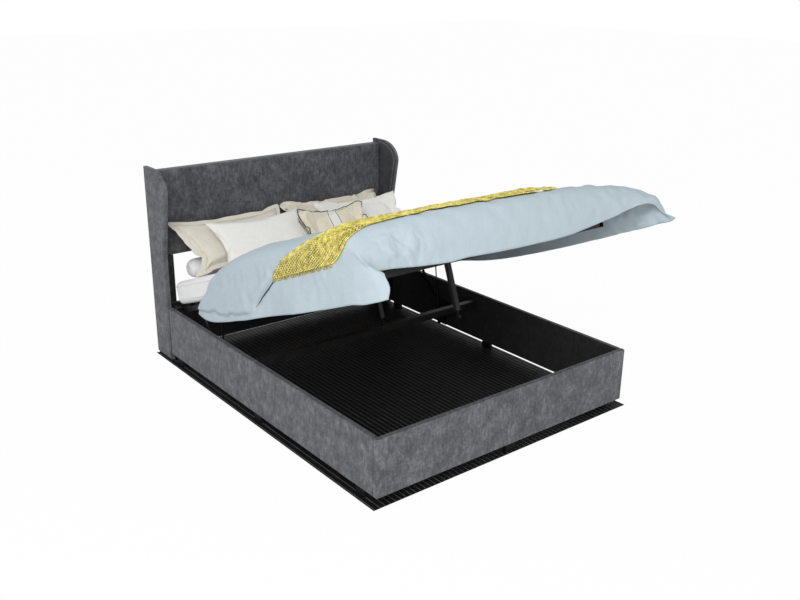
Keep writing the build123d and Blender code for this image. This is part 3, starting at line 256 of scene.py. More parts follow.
def build_grain_group():
    """Fine speckle with slow blotches, for moulded and painted surfaces."""
    work, given, result = new_group(
        "ShaderNodeTree", "moulded_grain",
        {"Vector": "Vector", "Grain": 900.0, "Blotch": 9.0}, {"Height": "Float", "Wear": "Float"})
    work.feed(result["Height"], work.noise(given["Vector"], given["Grain"], 2.0, 0.5))
    work.feed(result["Wear"], work.noise(given["Vector"], given["Blotch"], 5.0, 0.5))
    return work.tree


grain_group = build_grain_group()


def dress(nodes, material):
    """Give CAD pieces their finish."""
    for name in nodes:
        mesh = frame["nodes"][name].data
        if not mesh.materials:
            mesh.materials.append(material)
        for index in range(len(mesh.materials)):
            mesh.materials[index] = material


GROOVE_DEPTH_FROM_TOP = 0.0012
HIGHLIGHT_RIB_PITCH = 0.030
RUBBER_GROOVE_SHADE = (0.0008, 0.0008, 0.001)
RUBBER_RIB = (0.003, 0.003, 0.0035)
RUBBER_HIGHLIGHT_DARK = (0.034, 0.034, 0.036)
RUBBER_HIGHLIGHT_LIGHT = (0.062, 0.062, 0.066)


def rubber_finish():
    shade = Shader("ribbed_rubber")
    where = shade.place()
    grain = shade.group(grain_group, Vector=where, Grain=500.0, Blotch=14.0)
    # Painted highlight on the rib tops, and painted shade in the grooves below them.
    rib_highlight = shade.ramp(grain["Wear"], (0.35, RUBBER_HIGHLIGHT_DARK), (0.7, RUBBER_HIGHLIGHT_LIGHT))
    axes = shade.axes(where)
    wave = shade.math("COSINE", shade.math("MULTIPLY", axes["X"], 2 * math.pi / HIGHLIGHT_RIB_PITCH))
    ribs = shade.mix(shade.math("GREATER_THAN", wave, 0.0), RUBBER_RIB, rib_highlight)
    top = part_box("floor_mat")[1].z - GROOVE_DEPTH_FROM_TOP
    color = shade.mix(shade.math("GREATER_THAN", axes["Z"], top), RUBBER_GROOVE_SHADE, ribs)
    rough = shade.ramp(grain["Wear"], (0.3, 0.5), (0.75, 0.68))
    return shade.finish(color, rough, shade.bump(grain["Height"], 0.35, 0.0006), specular_ior_level=0.22)


dress(["floor_mat"], rubber_finish())


# Rail feet, leg glides and slat holders. Injection moulded in black plastic with a fine spark
# grain that scatters the light, slightly paler where hands and boxes have rubbed it.

def grained_finish(name, grain, blotch, span, colors, roughs, relief, **plain):
    """A moulded or coated surface: its colour and gloss follow the blotches over a span."""
    shade = Shader(name)
    wear = shade.group(grain_group, Vector=shade.place(), Grain=grain, Blotch=blotch)
    color = shade.ramp(wear["Wear"], *zip(span, colors))
    rough = shade.ramp(wear["Wear"], *zip(span, roughs)) if isinstance(roughs, tuple) else roughs
    return shade.finish(color, rough, shade.bump(wear["Height"], *relief), **plain)


plastic = grained_finish(
    "black_plastic", grain=1400.0, blotch=26.0, span=(0.3, 0.75),
    colors=((0.003, 0.003, 0.0035), (0.009, 0.009, 0.01)), roughs=(0.6, 0.75),
    relief=(0.3, 0.0003), specular_ior_level=0.12)
dress(["rail_feet", "leg_glides", "slat_holders_left", "slat_holders_right", "slat_holders_center"], plastic)


# Upholstered boards: rails, foot panel, headboard, wings and posts. Foam-faced boards wrapped
# in crushed velvet, whose pile lies in soft clouds and upright streaks, with a black lining
# stapled over the faces that look into the storage well and a plain black cloth behind.

VELVET_DARK = (0.043, 0.045, 0.051)
VELVET_MIDDLE = (0.104, 0.107, 0.117)
VELVET_LIGHT = (0.228, 0.233, 0.250)
LINING_DARK = (0.006, 0.006, 0.0065)
LINING_LIGHT = (0.030, 0.0305, 0.034)
BACK_CLOTH_DARK = (0.017, 0.017, 0.018)
BACK_CLOTH_LIGHT = (0.033, 0.033, 0.035)
CAP_SHADE = 0.5
CAP_THICKNESS = 0.0012
SEAM_SHADE = 0.3
SEAM_HALF_WIDTH = 0.0016
LINING_EDGE = 0.0045


def build_pile_group():
    """How the pile lies: slow clouds, upright streaks and single fibres."""
    work, given, result = new_group(
        "ShaderNodeTree", "velvet_pile",
        {"Vector": "Vector", "Cloud": 13.0, "Streak": 62.0, "Fibre": 240.0},
        {"Lie": "Float", "Height": "Float"})
    where = given["Vector"]
    upright = work.add("ShaderNodeMapping", {"Vector": where, "Scale": (1, 1, 0.45)}).outputs["Vector"]
    total = 0.0
    for name, vector, detail, rough, share in (
        ("Cloud", where, 8.0, 0.74, 0.44),
        ("Streak", upright, 5.0, 0.66, 0.34),
        ("Fibre", upright, 2.0, 0.5, 0.22),
    ):
        layer = work.noise(vector, given[name], detail, rough)
        total = work.math("ADD", work.math("MULTIPLY", layer, share), total)
    work.feed(result["Lie"], total)
    work.feed(result["Height"], layer)
    return work.tree


pile_group = build_pile_group()


def dimmed(color, share):
    return tuple(share * channel for channel in color)


def velvet_finish(name, lined_axis=None, lined_from=0.0, lined_above=True, dim=1.0, cap=None,
                  seams=(), lining=(LINING_DARK, LINING_LIGHT)):
    """Crushed velvet; the part past a place on one axis is the lining, or painted shade, instead.

    Above the cap the top face gets painted shade. Seams are given as axis, place and
    half width, and get painted shade in their gaps.
    """
    shade = Shader(name)
    where = shade.place()
    pile = shade.group(pile_group, Vector=where)
    stops = [(0.37, VELVET_DARK), (0.5, VELVET_MIDDLE), (0.64, VELVET_LIGHT)]
    color = shade.ramp(pile["Lie"], *[(at, dimmed(tint, dim)) for at, tint in stops])
    axes = shade.axes(where)
    if cap is not None:
        # Painted shade on the top face, above the cap.
        color = shade.mix(shade.math("GREATER_THAN", axes["Z"], cap), color, CAP_SHADE, "MULTIPLY")
    # Painted shade in the gap at each seam.
    for axis, place, half_width in seams:
        gap = shade.math("ABSOLUTE", shade.math("SUBTRACT", axes[axis], place))
        color = shade.mix(shade.math("LESS_THAN", gap, half_width), color, SEAM_SHADE, "MULTIPLY")
    if lined_axis:
        reach = axes[lined_axis]
        if lined_axis == "X":
            reach = shade.math("ABSOLUTE", reach)
        inside = shade.math("GREATER_THAN" if lined_above else "LESS_THAN", reach, lined_from)
        dark, light = lining
        color = shade.mix(inside, color, shade.ramp(pile["Lie"], (0.38, dark), (0.66, light)))
    normal = shade.bump(pile["Height"], 0.5, 0.0008)
    return shade.finish(color, 0.82, normal, sheen_weight=0.25, sheen_roughness=0.4, specular_ior_level=0.25)


rail_low, rail_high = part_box("side_rail_right")
foot_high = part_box("foot_panel")[1]
wing_low, wing_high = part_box("headboard_wing_right")
cap_height = rail_high.z - CAP_THICKNESS
joints = [("Y", foot_high.y, SEAM_HALF_WIDTH), ("Y", rail_high.y, 2 * SEAM_HALF_WIDTH)]
wing_gaps = [("X", side * wing_low.x, 6 * SEAM_HALF_WIDTH) for side in (-1, 1)]
# Painted shade: the wings' inner faces are the same velvet painted darker.
wing_inside_shade = (dimmed(VELVET_DARK, 0.5), dimmed(VELVET_LIGHT, 0.36))
dress(["side_rail_left", "side_rail_right"],
      velvet_finish("rail_velvet", "X", rail_low.x + LINING_EDGE, False, cap=cap_height, seams=joints))
dress(["foot_panel"],
      velvet_finish("foot_velvet", "Y", foot_high.y - LINING_EDGE, cap=cap_height, seams=joints))
# Painted shade: the headboard's face is the same velvet painted darker.
dress(["headboard_panel"], velvet_finish("headboard_velvet", dim=0.78, seams=wing_gaps))
# Painted shade: the wings are the same velvet painted a little darker.
dress(["headboard_wing_left", "headboard_wing_right"],
      velvet_finish("wing_velvet", "X", wing_low.x + LINING_EDGE, False, dim=0.95, lining=wing_inside_shade))
# Painted shade: the posts are the same velvet painted much darker.
dress(["headboard_post_left", "headboard_post_right"], velvet_finish("post_velvet", dim=0.35))
dress(["head_rail"], velvet_finish("head_rail_lining", "Z", -1.0))
dress(["headboard_back_cover"], grained_finish(
    "back_cover_cloth", grain=700.0, blotch=6.0, span=(0.3, 0.7),
    colors=(BACK_CLOTH_DARK, BACK_CLOTH_LIGHT), roughs=0.9, relief=(0.5, 0.0005)))


# Steel frame: tubes, beam, legs, brackets, cups and tracks. Welded mild steel with a black
# powder coat, whose orange peel shows in the light and whose gloss varies a little in blotches.

def powder_coat(name, greys, roughs):
    return grained_finish(name, grain=650.0, blotch=18.0, span=(0.3, 0.75), colors=greys,
                          roughs=roughs, relief=(0.25, 0.0004), specular_ior_level=0.3)


steel_names = ["corner_brackets", "cross_beam", "platform_head_tube", "platform_foot_tube",
               "platform_center_beam", "center_legs"]
for side in ("left", "right"):
    for piece in ("beam_cup", "hinge_bracket", "strut_bracket", "stay_track", "platform_side_tube",
                  "hinge_ear", "strut_lug", "stay_lug", "stay_bar"):
        steel_names.append(f"{piece}_{side}")
dress(steel_names, powder_coat("black_powder_coat", (0.005, 0.012), (0.4, 0.55)))


# Bolts, pins and struts. Zinc plated bolts and pins with fine turning marks, pressure tubes in
# gloss black paint, and ground rods with a hard black nitrided skin that shines a little.

def plated_finish(name, tint, rough):
    return grained_finish(name, grain=1800.0, blotch=60.0, span=(0.3, 0.7),
                          colors=(dimmed(tint, 0.8), tint), roughs=(rough, 1.6 * rough),
                          relief=(0.08, 0.0001), metallic=1.0)


dress(["frame_bolts", "hinge_pins", "strut_top_pin_left", "strut_top_pin_right"],
      plated_finish("zinc_plate", (0.62, 0.62, 0.6), 0.28))
dress(["strut_rod_left", "strut_rod_right"], plated_finish("nitrided_rod", (0.012, 0.012, 0.013), 0.34))
dress(["strut_cylinder_left", "strut_cylinder_right"],
      powder_coat("strut_gloss_black", (0.006, 0.012), (0.16, 0.26)))


# Slats. Bowed birch plywood, lacquered, with the grain along each slat and darker plies and
# small flecks here and there.

BIRCH_DARK = (0.28, 0.165, 0.075)
BIRCH_MIDDLE = (0.45, 0.29, 0.145)
BIRCH_LIGHT = (0.6, 0.43, 0.25)


def slat_finish():
    shade = Shader("birch_slat")
    fine = shade.noise(shade.place((1.0, 14.0, 14.0)), 16.0, 6.0, 0.65)
    broad = shade.noise(shade.place((0.6, 4.0, 4.0)), 5.0, 3.0)
    both = shade.math("ADD", shade.math("MULTIPLY", fine, 0.6), shade.math("MULTIPLY", broad, 0.4))
    color = shade.ramp(both, (0.3, BIRCH_DARK), (0.5, BIRCH_MIDDLE), (0.72, BIRCH_LIGHT))
    return shade.finish(color, shade.ramp(fine, (0.3, 0.38), (0.7, 0.5)), shade.bump(fine, 0.25, 0.0004))


dress(["slats_left", "slats_right"], slat_finish())


# Mattress. Foam in a white knitted cover, quilted on top and edged with piping, on the slats
# and just short of the platform's ends.

lift_joint = next(joint for joint in frame["joints"] if joint["name"] == "platform_lift")
HINGE = Vector(lift_joint["pos_m"])
OPEN_TURN = math.radians(max(lift_joint["range_deg"]))


def raised(points):
    """Places on the open bed of points given by X, distance from the hinge and height."""
    points = np.asarray(points, dtype=float)
    x, along, above = points[..., 0], points[..., 1], points[..., 2]
    y = HINGE.y - along * math.cos(OPEN_TURN) + above * math.sin(OPEN_TURN)
    z = HINGE.z + along * math.sin(OPEN_TURN) + above * math.cos(OPEN_TURN)
    return np.stack([x, y, z], axis=-1)


def flattened(points):
    """The other way: X, distance from the hinge and height, as on a flat platform."""
    points = np.asarray(points, dtype=float)
    x, dy, dz = points[..., 0], points[..., 1] - HINGE.y, points[..., 2] - HINGE.z
    along = -dy * math.cos(OPEN_TURN) + dz * math.sin(OPEN_TURN)
    above = dy * math.sin(OPEN_TURN) + dz * math.cos(OPEN_TURN)
    return np.stack([x, along, above], axis=-1)


def mesh_points(mesh):
    places = np.empty(len(mesh.vertices) * 3)
    mesh.vertices.foreach_get("co", places)
    return places.reshape(-1, 3)


def flat_points(node):
    """The points of a CAD node on the flat platform."""
    return flattened(mesh_points(frame["nodes"][node].data))


def make_piece(name, vertices, faces, material, uv=None):
    """A smooth mesh at the origin, with its UV map in metres where one is given."""
    mesh = bpy.data.meshes.new(name)
    mesh.from_pydata([tuple(v) for v in vertices], [], [tuple(f) for f in faces])
    build = bmesh.new()
    build.from_mesh(mesh)
    bmesh.ops.recalc_face_normals(build, faces=build.faces)
    build.to_mesh(mesh)
    build.free()
    mesh.polygons.foreach_set("use_smooth", [True] * len(mesh.polygons))
    if uv is not None:
        layer = mesh.uv_layers.new(name="cloth")
        corners = np.empty(len(mesh.loops), dtype=int)
        mesh.loops.foreach_get("vertex_index", corners)
        layer.data.foreach_set("uv", np.asarray(uv)[corners].ravel())
    mesh.materials.append(material)
    piece = bpy.data.objects.new(name, mesh)
    bpy.context.scene.collection.objects.link(piece)
    return piece


def build_weave_group():
    """Crossed threads in two directions of the given vector, in threads a metre, with slubs."""
    work, given, result = new_group(
        "ShaderNodeTree", "woven_threads",
        {"Vector": "Vector", "Threads": 900.0, "Slub": 40.0}, {"Height": "Float", "Tint": "Float"})
    axes = work.add("ShaderNodeSeparateXYZ", {0: given["Vector"]}).outputs
    waves = []
    for axis in ("X", "Y"):
        turn = work.math("MULTIPLY", work.math("MULTIPLY", axes[axis], given["Threads"]), math.pi)
        waves.append(work.math("ABSOLUTE", work.math("SINE", turn)))
    work.feed(result["Height"], work.math("ADD", *waves))
    streak = work.add("ShaderNodeMapping", {"Vector": given["Vector"], "Scale": (1.0, 0.12, 1.0)})
    work.feed(result["Tint"], work.noise(streak.outputs["Vector"], given["Slub"], 4.0, 0.5))
    return work.tree


weave_group = build_weave_group()


FOLD_SHADE = (0.04, 0.06, 0.09)
FOLD_HALF_WIDTH = 0.011


def near_line(shade, where, start, end):
    """One on a line between two places on the UV map, tapering to its end, and none off it."""
    way = np.subtract(end, start)
    length = float(np.linalg.norm(way))
    way = way / length
    offset = shade.add("ShaderNodeVectorMath", {0: where, 1: (*start, 0)}, operation="SUBTRACT").outputs[0]
    dots = [shade.add("ShaderNodeVectorMath", {0: offset, 1: (*lead, 0)}, operation="DOT_PRODUCT")
            for lead in (way, (-way[1], way[0]))]
    reach, aside = (dot.outputs["Value"] for dot in dots)
    along = shade.math("DIVIDE", reach, length)
    width = shade.math("MULTIPLY", shade.math("SUBTRACT", 1.25, along), FOLD_HALF_WIDTH)
    edge = shade.math("DIVIDE", shade.math("ABSOLUTE", aside), width)
    core = shade.ramp(edge, (0.45, 1), (1.0, 0))
    after = shade.math("GREATER_THAN", along, -0.1)
    before = shade.math("LESS_THAN", along, 1.05)
    return shade.math("MULTIPLY", core, shade.math("MULTIPLY", after, before))


def woven(shade, where, threads, slub, weave_share, crease_scale, strength, distance):
    """How the threads tint a cloth, and the normal that its weave and slow creases give."""
    weave = shade.group(weave_group, Vector=where, Threads=threads, Slub=slub)
    crease = shade.noise(where, crease_scale, 5.0, 0.6)
    height = shade.math("ADD", shade.math("MULTIPLY", weave["Height"], weave_share), crease)
    return weave["Tint"], shade.bump(height, strength, distance)


def cloth_finish(name, tints, threads, relief=0.0004, slub=150.0, source="UV", groove=None):
    """Woven cloth: crossed threads, slubs that vary the tint, and slow creases.

    Cloth with a groove, between two places on its UV map, gets painted shade in it, where two
    layers close on each other, and where its "fold" attribute is high.
    """
    shade = Shader(name)
    where = shade.place(source=source)
    tint, normal = woven(shade, where, threads, slub, weave_share=0.12, crease_scale=22.0,
                         strength=0.55, distance=6 * relief)
    color = shade.ramp(tint, *zip((0.3, 0.7), tints))
    if groove:
        # Painted shade: darker where the fold attribute is high and along the tuck's groove.
        fold = shade.add("ShaderNodeAttribute", attribute_name="fold").outputs["Fac"]
        for dark in (fold, near_line(shade, where, *groove)):
            color = shade.mix(dark, color, FOLD_SHADE, "MULTIPLY")
    return shade.finish(color, 0.86, normal)


MATTRESS_CORNER = 0.06
MATTRESS_EDGE = 0.03
EDGE_STEPS = 6
WALL_STEPS = 10
PLAN_STEP = 0.03
QUILT_PITCH = 0.16
QUILT_DEPTH = 0.005
QUILT_RINGS = 26
PIPING_RADIUS = 0.0022
PIPING_STAND = 0.0012


def rounded_plan(half_x, low_s, high_s, radius, steps=10):
    """Points around a rectangle with round corners, at even steps on its straights."""
    centre_s, half_s = (low_s + high_s) / 2, (high_s - low_s) / 2
    points = []
    for turn, sign_x, sign_s in ((0, 1, 1), (1, -1, 1), (2, -1, -1), (3, 1, -1)):
        for index in range(steps + 1):
            angle = (turn + index / steps) * math.pi / 2
            x = sign_x * (half_x - radius) + radius * math.cos(angle)
            s = centre_s + sign_s * (half_s - radius) + radius * math.sin(angle)
            points.append((x, s))
    filled = []
    for start, end in zip(points, points[1:] + points[:1]):
        count = max(1, int(math.dist(start, end) / PLAN_STEP))
        filled += [tuple(np.add(start, np.subtract(end, start) * index / count)) for index in range(count)]
    return np.array(filled)


def ring_faces(rings, sides, closed=False):
    """Quads between rings of points, and from the last ring to the first where they close."""
    faces = []
    for ring in range(rings if closed else rings - 1):
        a, b = ring * sides, (ring + 1) % rings * sides
        for step in range(sides):
            after = (step + 1) % sides
            faces.append((a + step, a + after, b + after, b + step))
    return faces


def tip_faces(rings, sides):
    """Triangles that close the first and the last ring on the two points that follow them."""
    faces = []
    for start, tip in ((0, rings * sides), ((rings - 1) * sides, rings * sides + 1)):
        faces += [(start + step, start + (step + 1) % sides, tip) for step in range(sides)]
    return faces


def mattress_mesh(low, high, plan):
    """The cover in rings, from the middle of its plain bottom to that of its quilted top."""
    centre, half = (low[:2] + high[:2]) / 2, (high[:2] - low[:2]) / 2
    turns = np.linspace(0, math.pi / 2, EDGE_STEPS + 1)
    edge = [(MATTRESS_EDGE * (1 - math.sin(turn)), MATTRESS_EDGE * (1 - math.cos(turn))) for turn in turns]
    wall = high[2] - low[2] - 2 * MATTRESS_EDGE
    shares = [ring / QUILT_RINGS for ring in range(1, QUILT_RINGS)]
    rings = [(MATTRESS_EDGE, share, low[2], 0) for share in shares]
    rings += [(inset, 1, low[2] + rise, 0) for inset, rise in edge]
    rings += [(0, 1, low[2] + MATTRESS_EDGE + step / WALL_STEPS * wall, 0) for step in range(1, WALL_STEPS)]
    rings += [(inset, 1, high[2] - rise, 0) for inset, rise in reversed(edge)]
    rings += [(MATTRESS_EDGE, share, high[2], QUILT_DEPTH) for share in reversed(shares)]
    vertices = []
    for inset, share, height, depth in rings:
        ring = centre + (plan - centre) * (1 - inset / half) * share
        wave = np.abs(np.sin(np.pi * ring / QUILT_PITCH).prod(axis=1)) ** 0.5
        vertices += list(zip(*ring.T, height - depth * (1 - wave)))
    vertices += [(*centre, low[2]), (*centre, high[2])]
    return vertices, ring_faces(len(rings), len(plan)) + tip_faces(len(rings), len(plan))


def tube_along(path, radius, sides=6, closed=True):
    """Vertices and faces of a round cord that follows points."""
    path = np.asarray(path, dtype=float)
    count = len(path)
    vertices = []
    normal = None
    for index in range(count):
        before = path[(index - 1) % count] if closed or index else path[0]
        after = path[(index + 1) % count] if closed or index < count - 1 else path[-1]
        forward = Vector(after - before).normalized()
        if normal is None:
            normal = forward.orthogonal().normalized()
        normal = (normal - forward * normal.dot(forward)).normalized()
        side = forward.cross(normal)
        for step in range(sides):
            angle = 2 * math.pi * step / sides
            offset = (normal * math.cos(angle) + side * math.sin(angle)) * radius
            vertices.append(tuple(path[index] + np.array(offset)))
    faces = ring_faces(count, sides, closed)
    if not closed:
        faces += [tuple(reversed(range(sides))), tuple(range((count - 1) * sides, count * sides))]
    return vertices, faces


def join_shapes(*shapes):
    """Several vertex and face lists as one."""
    vertices, faces = [], []
    for part_vertices, part_faces in shapes:
        start = len(vertices)
        vertices += [tuple(v) for v in part_vertices]
        faces += [tuple(start + i for i in face) for face in part_faces]
    return vertices, faces


def make_mattress():
    points = flat_points("mattress")
    low, high = points.min(axis=0), points.max(axis=0)
    plan = rounded_plan(high[0], low[1], high[1], MATTRESS_CORNER)
    shapes = [mattress_mesh(low, high, plan)]
    centre, half = (low[:2] + high[:2]) / 2, (high[:2] - low[:2]) / 2
    for height in (low[2] + MATTRESS_EDGE, high[2] - MATTRESS_EDGE):
        loop = centre + (plan - centre) * (1 + PIPING_STAND / half)
        shapes.append(tube_along([(x, s, height) for x, s in loop], PIPING_RADIUS))
    vertices, faces = join_shapes(*shapes)
    finish = cloth_finish("mattress_knit", (0.82, 0.87), threads=500.0, source="Object")
    piece = make_piece("mattress_cover", raised(vertices), faces, finish)
    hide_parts("mattress")
    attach(piece, "platform")


make_mattress()


# Duvet. A pale blue cotton quilt over the mattress, drawn down the bed so that it hangs at both
# sides and past the foot end. It was draped flat and is raised with the platform, so its drops
# stand square to the mattress and its right side flares out.

# Rows across the bed, of X, the distance from the hinge and the height over the flat platform.
DUVET_ROWS_MM = (
    ((-860, 375, -46), (-858, 425, 0), (-850, 520, 60), (-800, 640, 155), (-400, 625, 182),
     (0, 610, 182), (400, 610, 178), (790, 620, 160), (850, 560, 60), (880, 480, -70)),
    ((-868, 480, -86), (-862, 540, -20), (-852, 640, 68), (-800, 720, 184), (-400, 710, 226),
     (0, 700, 226), (400, 700, 212), (795, 700, 176), (862, 670, 62), (895, 640, -85)),
    ((-872, 640, -108), (-864, 680, -30), (-857, 760, 66), (-803, 820, 203), (-400, 820, 248),
     (0, 820, 248), (400, 820, 228), (800, 820, 184), (876, 810, 66), (912, 800, -104)),
    ((-886, 980, -112), (-872, 980, -30), (-860, 980, 64), (-803, 1000, 215), (-400, 1000, 254),
     (0, 1000, 254), (400, 1000, 232), (805, 1000, 190), (890, 1000, 74), (928, 1000, -120)),
    ((-862, 1250, -113), (-862, 1250, -30), (-858, 1250, 60), (-802, 1250, 215), (-400, 1250, 240),
     (0, 1250, 239), (400, 1250, 222), (805, 1250, 192), (905, 1250, 86), (948, 1250, -120)),
    ((-888, 1520, -114), (-874, 1520, -30), (-858, 1520, 60), (-802, 1520, 213), (-400, 1520, 229),
     (0, 1520, 226), (400, 1520, 217), (805, 1520, 194), (930, 1520, 100), (975, 1520, -113)),
    ((-864, 1770, -112), (-864, 1770, -30), (-858, 1770, 60), (-802, 1770, 211), (-400, 1770, 229),
     (0, 1770, 226), (400, 1770, 218), (800, 1770, 197), (965, 1770, 120), (1030, 1790, -98)),
    ((-872, 1950, -107), (-868, 1940, -30), (-856, 1930, 60), (-802, 1920, 206), (-410, 1930, 227),
     (0, 1940, 224), (380, 1940, 217), (780, 1940, 195), (1020, 1960, 128), (1085, 1990, -88)),
    ((-862, 2050, -104), (-860, 2045, -34), (-850, 2035, 50), (-800, 2010, 160), (-410, 2025, 200),
     (0, 2035, 196), (380, 2035, 190), (780, 2035, 170), (1050, 2050, 105), (1125, 2070, -80)),
    ((-845, 2120, -102), (-842, 2125, -40), (-835, 2115, 20), (-800, 2060, 85), (-400, 2065, 96),
     (0, 2070, 90), (380, 2070, 88), (780, 2075, 90), (1070, 2100, 62), (1155, 2120, -76)),
    ((-822, 2165, -98), (-812, 2178, -52), (-800, 2150, 5), (-740, 2062, 16), (-400, 2052, -10),
     (-50, 2056, -28), (380, 2060, -30), (720, 2070, 4), (990, 2110, 38), (1165, 2145, -60)),
)
DUVET_STEP = 0.016
DUVET_FINE_STEP = 0.0098
DUVET_LENGTH = 1.95
DUVET_REACH = 2.25
DUVET_THICKNESS = 0.007
DUVET_SPARE_CLOTH = 0.014
DUVET_SETTLE_LIMIT = 0.020
DUVET_SETTLE_FRAMES = 24
HOLD_TOP, HOLD_SIDES, HOLD_EDGES = 0.22, 0.30, 0.5
DUVET_DARK = (0.450, 0.540, 0.593)
DUVET_LIGHT = (0.490, 0.572, 0.622)
TOP_HEIGHT = 0.2
TOP_BULGE = 0.06
DROP_FROM = 0.17
DROP_SPAN = 0.25
SIDE_FROM = 0.8
SIDE_SPAN = 0.04
WIDE = (0.5, 1, 1)
RIPPLE_DEPTH = 0.005
WAVE_DEPTH = 0.002
PLEAT_DEPTH = 0.006
CREASE_DEPTH = 0.0022
FLARE_FROM = (0.55, 1.5)
FLARE_SPAN = (0.3, 0.35)
CRUMPLE_DEPTH = 0.011
END_FROM = 1.97
END_SPAN = 0.08
END_WAVE_DEPTH = 0.003
GATHER_PLACE = (-0.61, 2.06, 0.09)
GATHER_SIZE = (0.15, 0.10, 0.10)
GATHER_WAVE_DEPTH = 0.012
GATHER_CREASE_DEPTH = 0.010
TUCK_START = (1.290, 0.048)
TUCK_END = (1.098, -0.054)
TUCK_GROOVE = 0.019
TUCK_GROOVE_WIDTH = 0.010
TUCK_SWELL = 0.010
TUCK_SWELL_WIDTH = 0.03
TUCK_SWELL_PLACE = 0.035
HEAD_PART_TO = 1.06
HEAD_PART_SPAN = 0.06
HEM_STEP = 0.009
HEM_STEP_SPAN = 0.006
HEM_HEIGHT = -0.074
HEM_SLOPE = 0.15
HEM_SLOPE_TO = 0.75
HEM_NOTCHES = ((0.60, 0.014), (0.81, 0.010))
HEM_NOTCH_WIDTH = 0.035
HEM_SHADE = 0.35
HEM_SHADE_BELOW = 0.004
HEM_SHADE_WIDTH = 0.007
LOW_HEM_DROP = 0.011
LOW_HEM_HEIGHT = 0.03
LOW_HEM_FROM = 0.25
LOW_HEM_SPAN = 0.1


def spline(points, samples):
    """Evenly sampled curve through points, along the first axis."""
    points = np.asarray(points, dtype=float)
    count = len(points)
    padded = np.concatenate([2 * points[:1] - points[1:2], points, 2 * points[-1:] - points[-2:-1]])
    where = np.linspace(0, count - 1, samples)
    index = np.minimum(where.astype(int), count - 2)
    t = (where - index).reshape(-1, *([1] * (points.ndim - 1)))
    a, b, c, d = (padded[index + k] for k in range(4))
    bend = (2 * a - 5 * b + 4 * c - d) * t ** 2 + (3 * b - a - 3 * c + d) * t ** 3
    return 0.5 * (2 * b + (c - a) * t + bend)


def even_spline(points, samples):
    """The same curve with its samples at even distances."""
    fine = spline(points, samples * 4)
    steps = np.linalg.norm(np.diff(fine, axis=0), axis=-1).mean(axis=-1)
    reach = np.concatenate([[0], np.cumsum(steps)])
    wanted = np.linspace(0, reach[-1], samples)
    index = np.clip(np.searchsorted(reach, wanted, side="right") - 1, 0, len(reach) - 2)
    part = ((wanted - reach[index]) / (reach[index + 1] - reach[index])).reshape(-1, 1, 1)
    return fine[index] * (1 - part) + fine[index + 1] * part


def resampled(grid, curve, step):
    """The duvet's sheet with its points about a step apart, along one kind of curve."""
    down = curve(grid, int(DUVET_LENGTH / step))
    across = curve(np.swapaxes(down, 0, 1), int(DUVET_REACH / step))
    return np.swapaxes(across, 0, 1)


def grid_faces(rows, columns):
    """Quads of a grid, so that its front looks up when columns run to the right."""
    corners = [row * columns + column for row in range(rows - 1) for column in range(columns - 1)]
    return [(at, at + columns, at + columns + 1, at + 1) for at in corners]


def grid_lengths(grid):
    """Distances along the rows and columns of a grid, in metres, as UV places."""
    across = np.linalg.norm(np.diff(grid, axis=1), axis=-1)
    down = np.linalg.norm(np.diff(grid, axis=0), axis=-1)
    u = np.concatenate([np.zeros((grid.shape[0], 1)), np.cumsum(across, axis=1)], axis=1)
    v = np.concatenate([np.zeros((1, grid.shape[1])), np.cumsum(down, axis=0)], axis=0)
    middle = u.shape[1] // 2
    return np.stack([u - u[:, middle:middle + 1], v], axis=-1).reshape(-1, 2)


def grid_normals(grid):
    """Unit normals of a grid of points."""
    normals = np.cross(np.gradient(grid, axis=0), np.gradient(grid, axis=1))
    return normals / np.maximum(np.linalg.norm(normals, axis=-1, keepdims=True), 1e-9)


def drift(points, size, seed):
    """Smooth unevenness between about -1 and 1 at each point."""
    offset = Vector((seed * 13.7, seed * 7.1, seed * 3.3))
    return np.array([noise.noise(Vector(p) / size + offset) for p in points])


def ridged(points, size, seed):
    """Sharp little creases with flat cloth between them, from about 0 to 1."""
    return np.clip(1 - 3.2 * np.abs(drift(points, size, seed)), 0, 1) ** 2


def share(value, span):
    """How far a value has come over a span, from 0 to 1."""
    return np.clip(value / span, 0, 1)


def bell(value, width):
    """One at 0 and less to both sides of it."""
    return np.exp(-(value / width) ** 2)


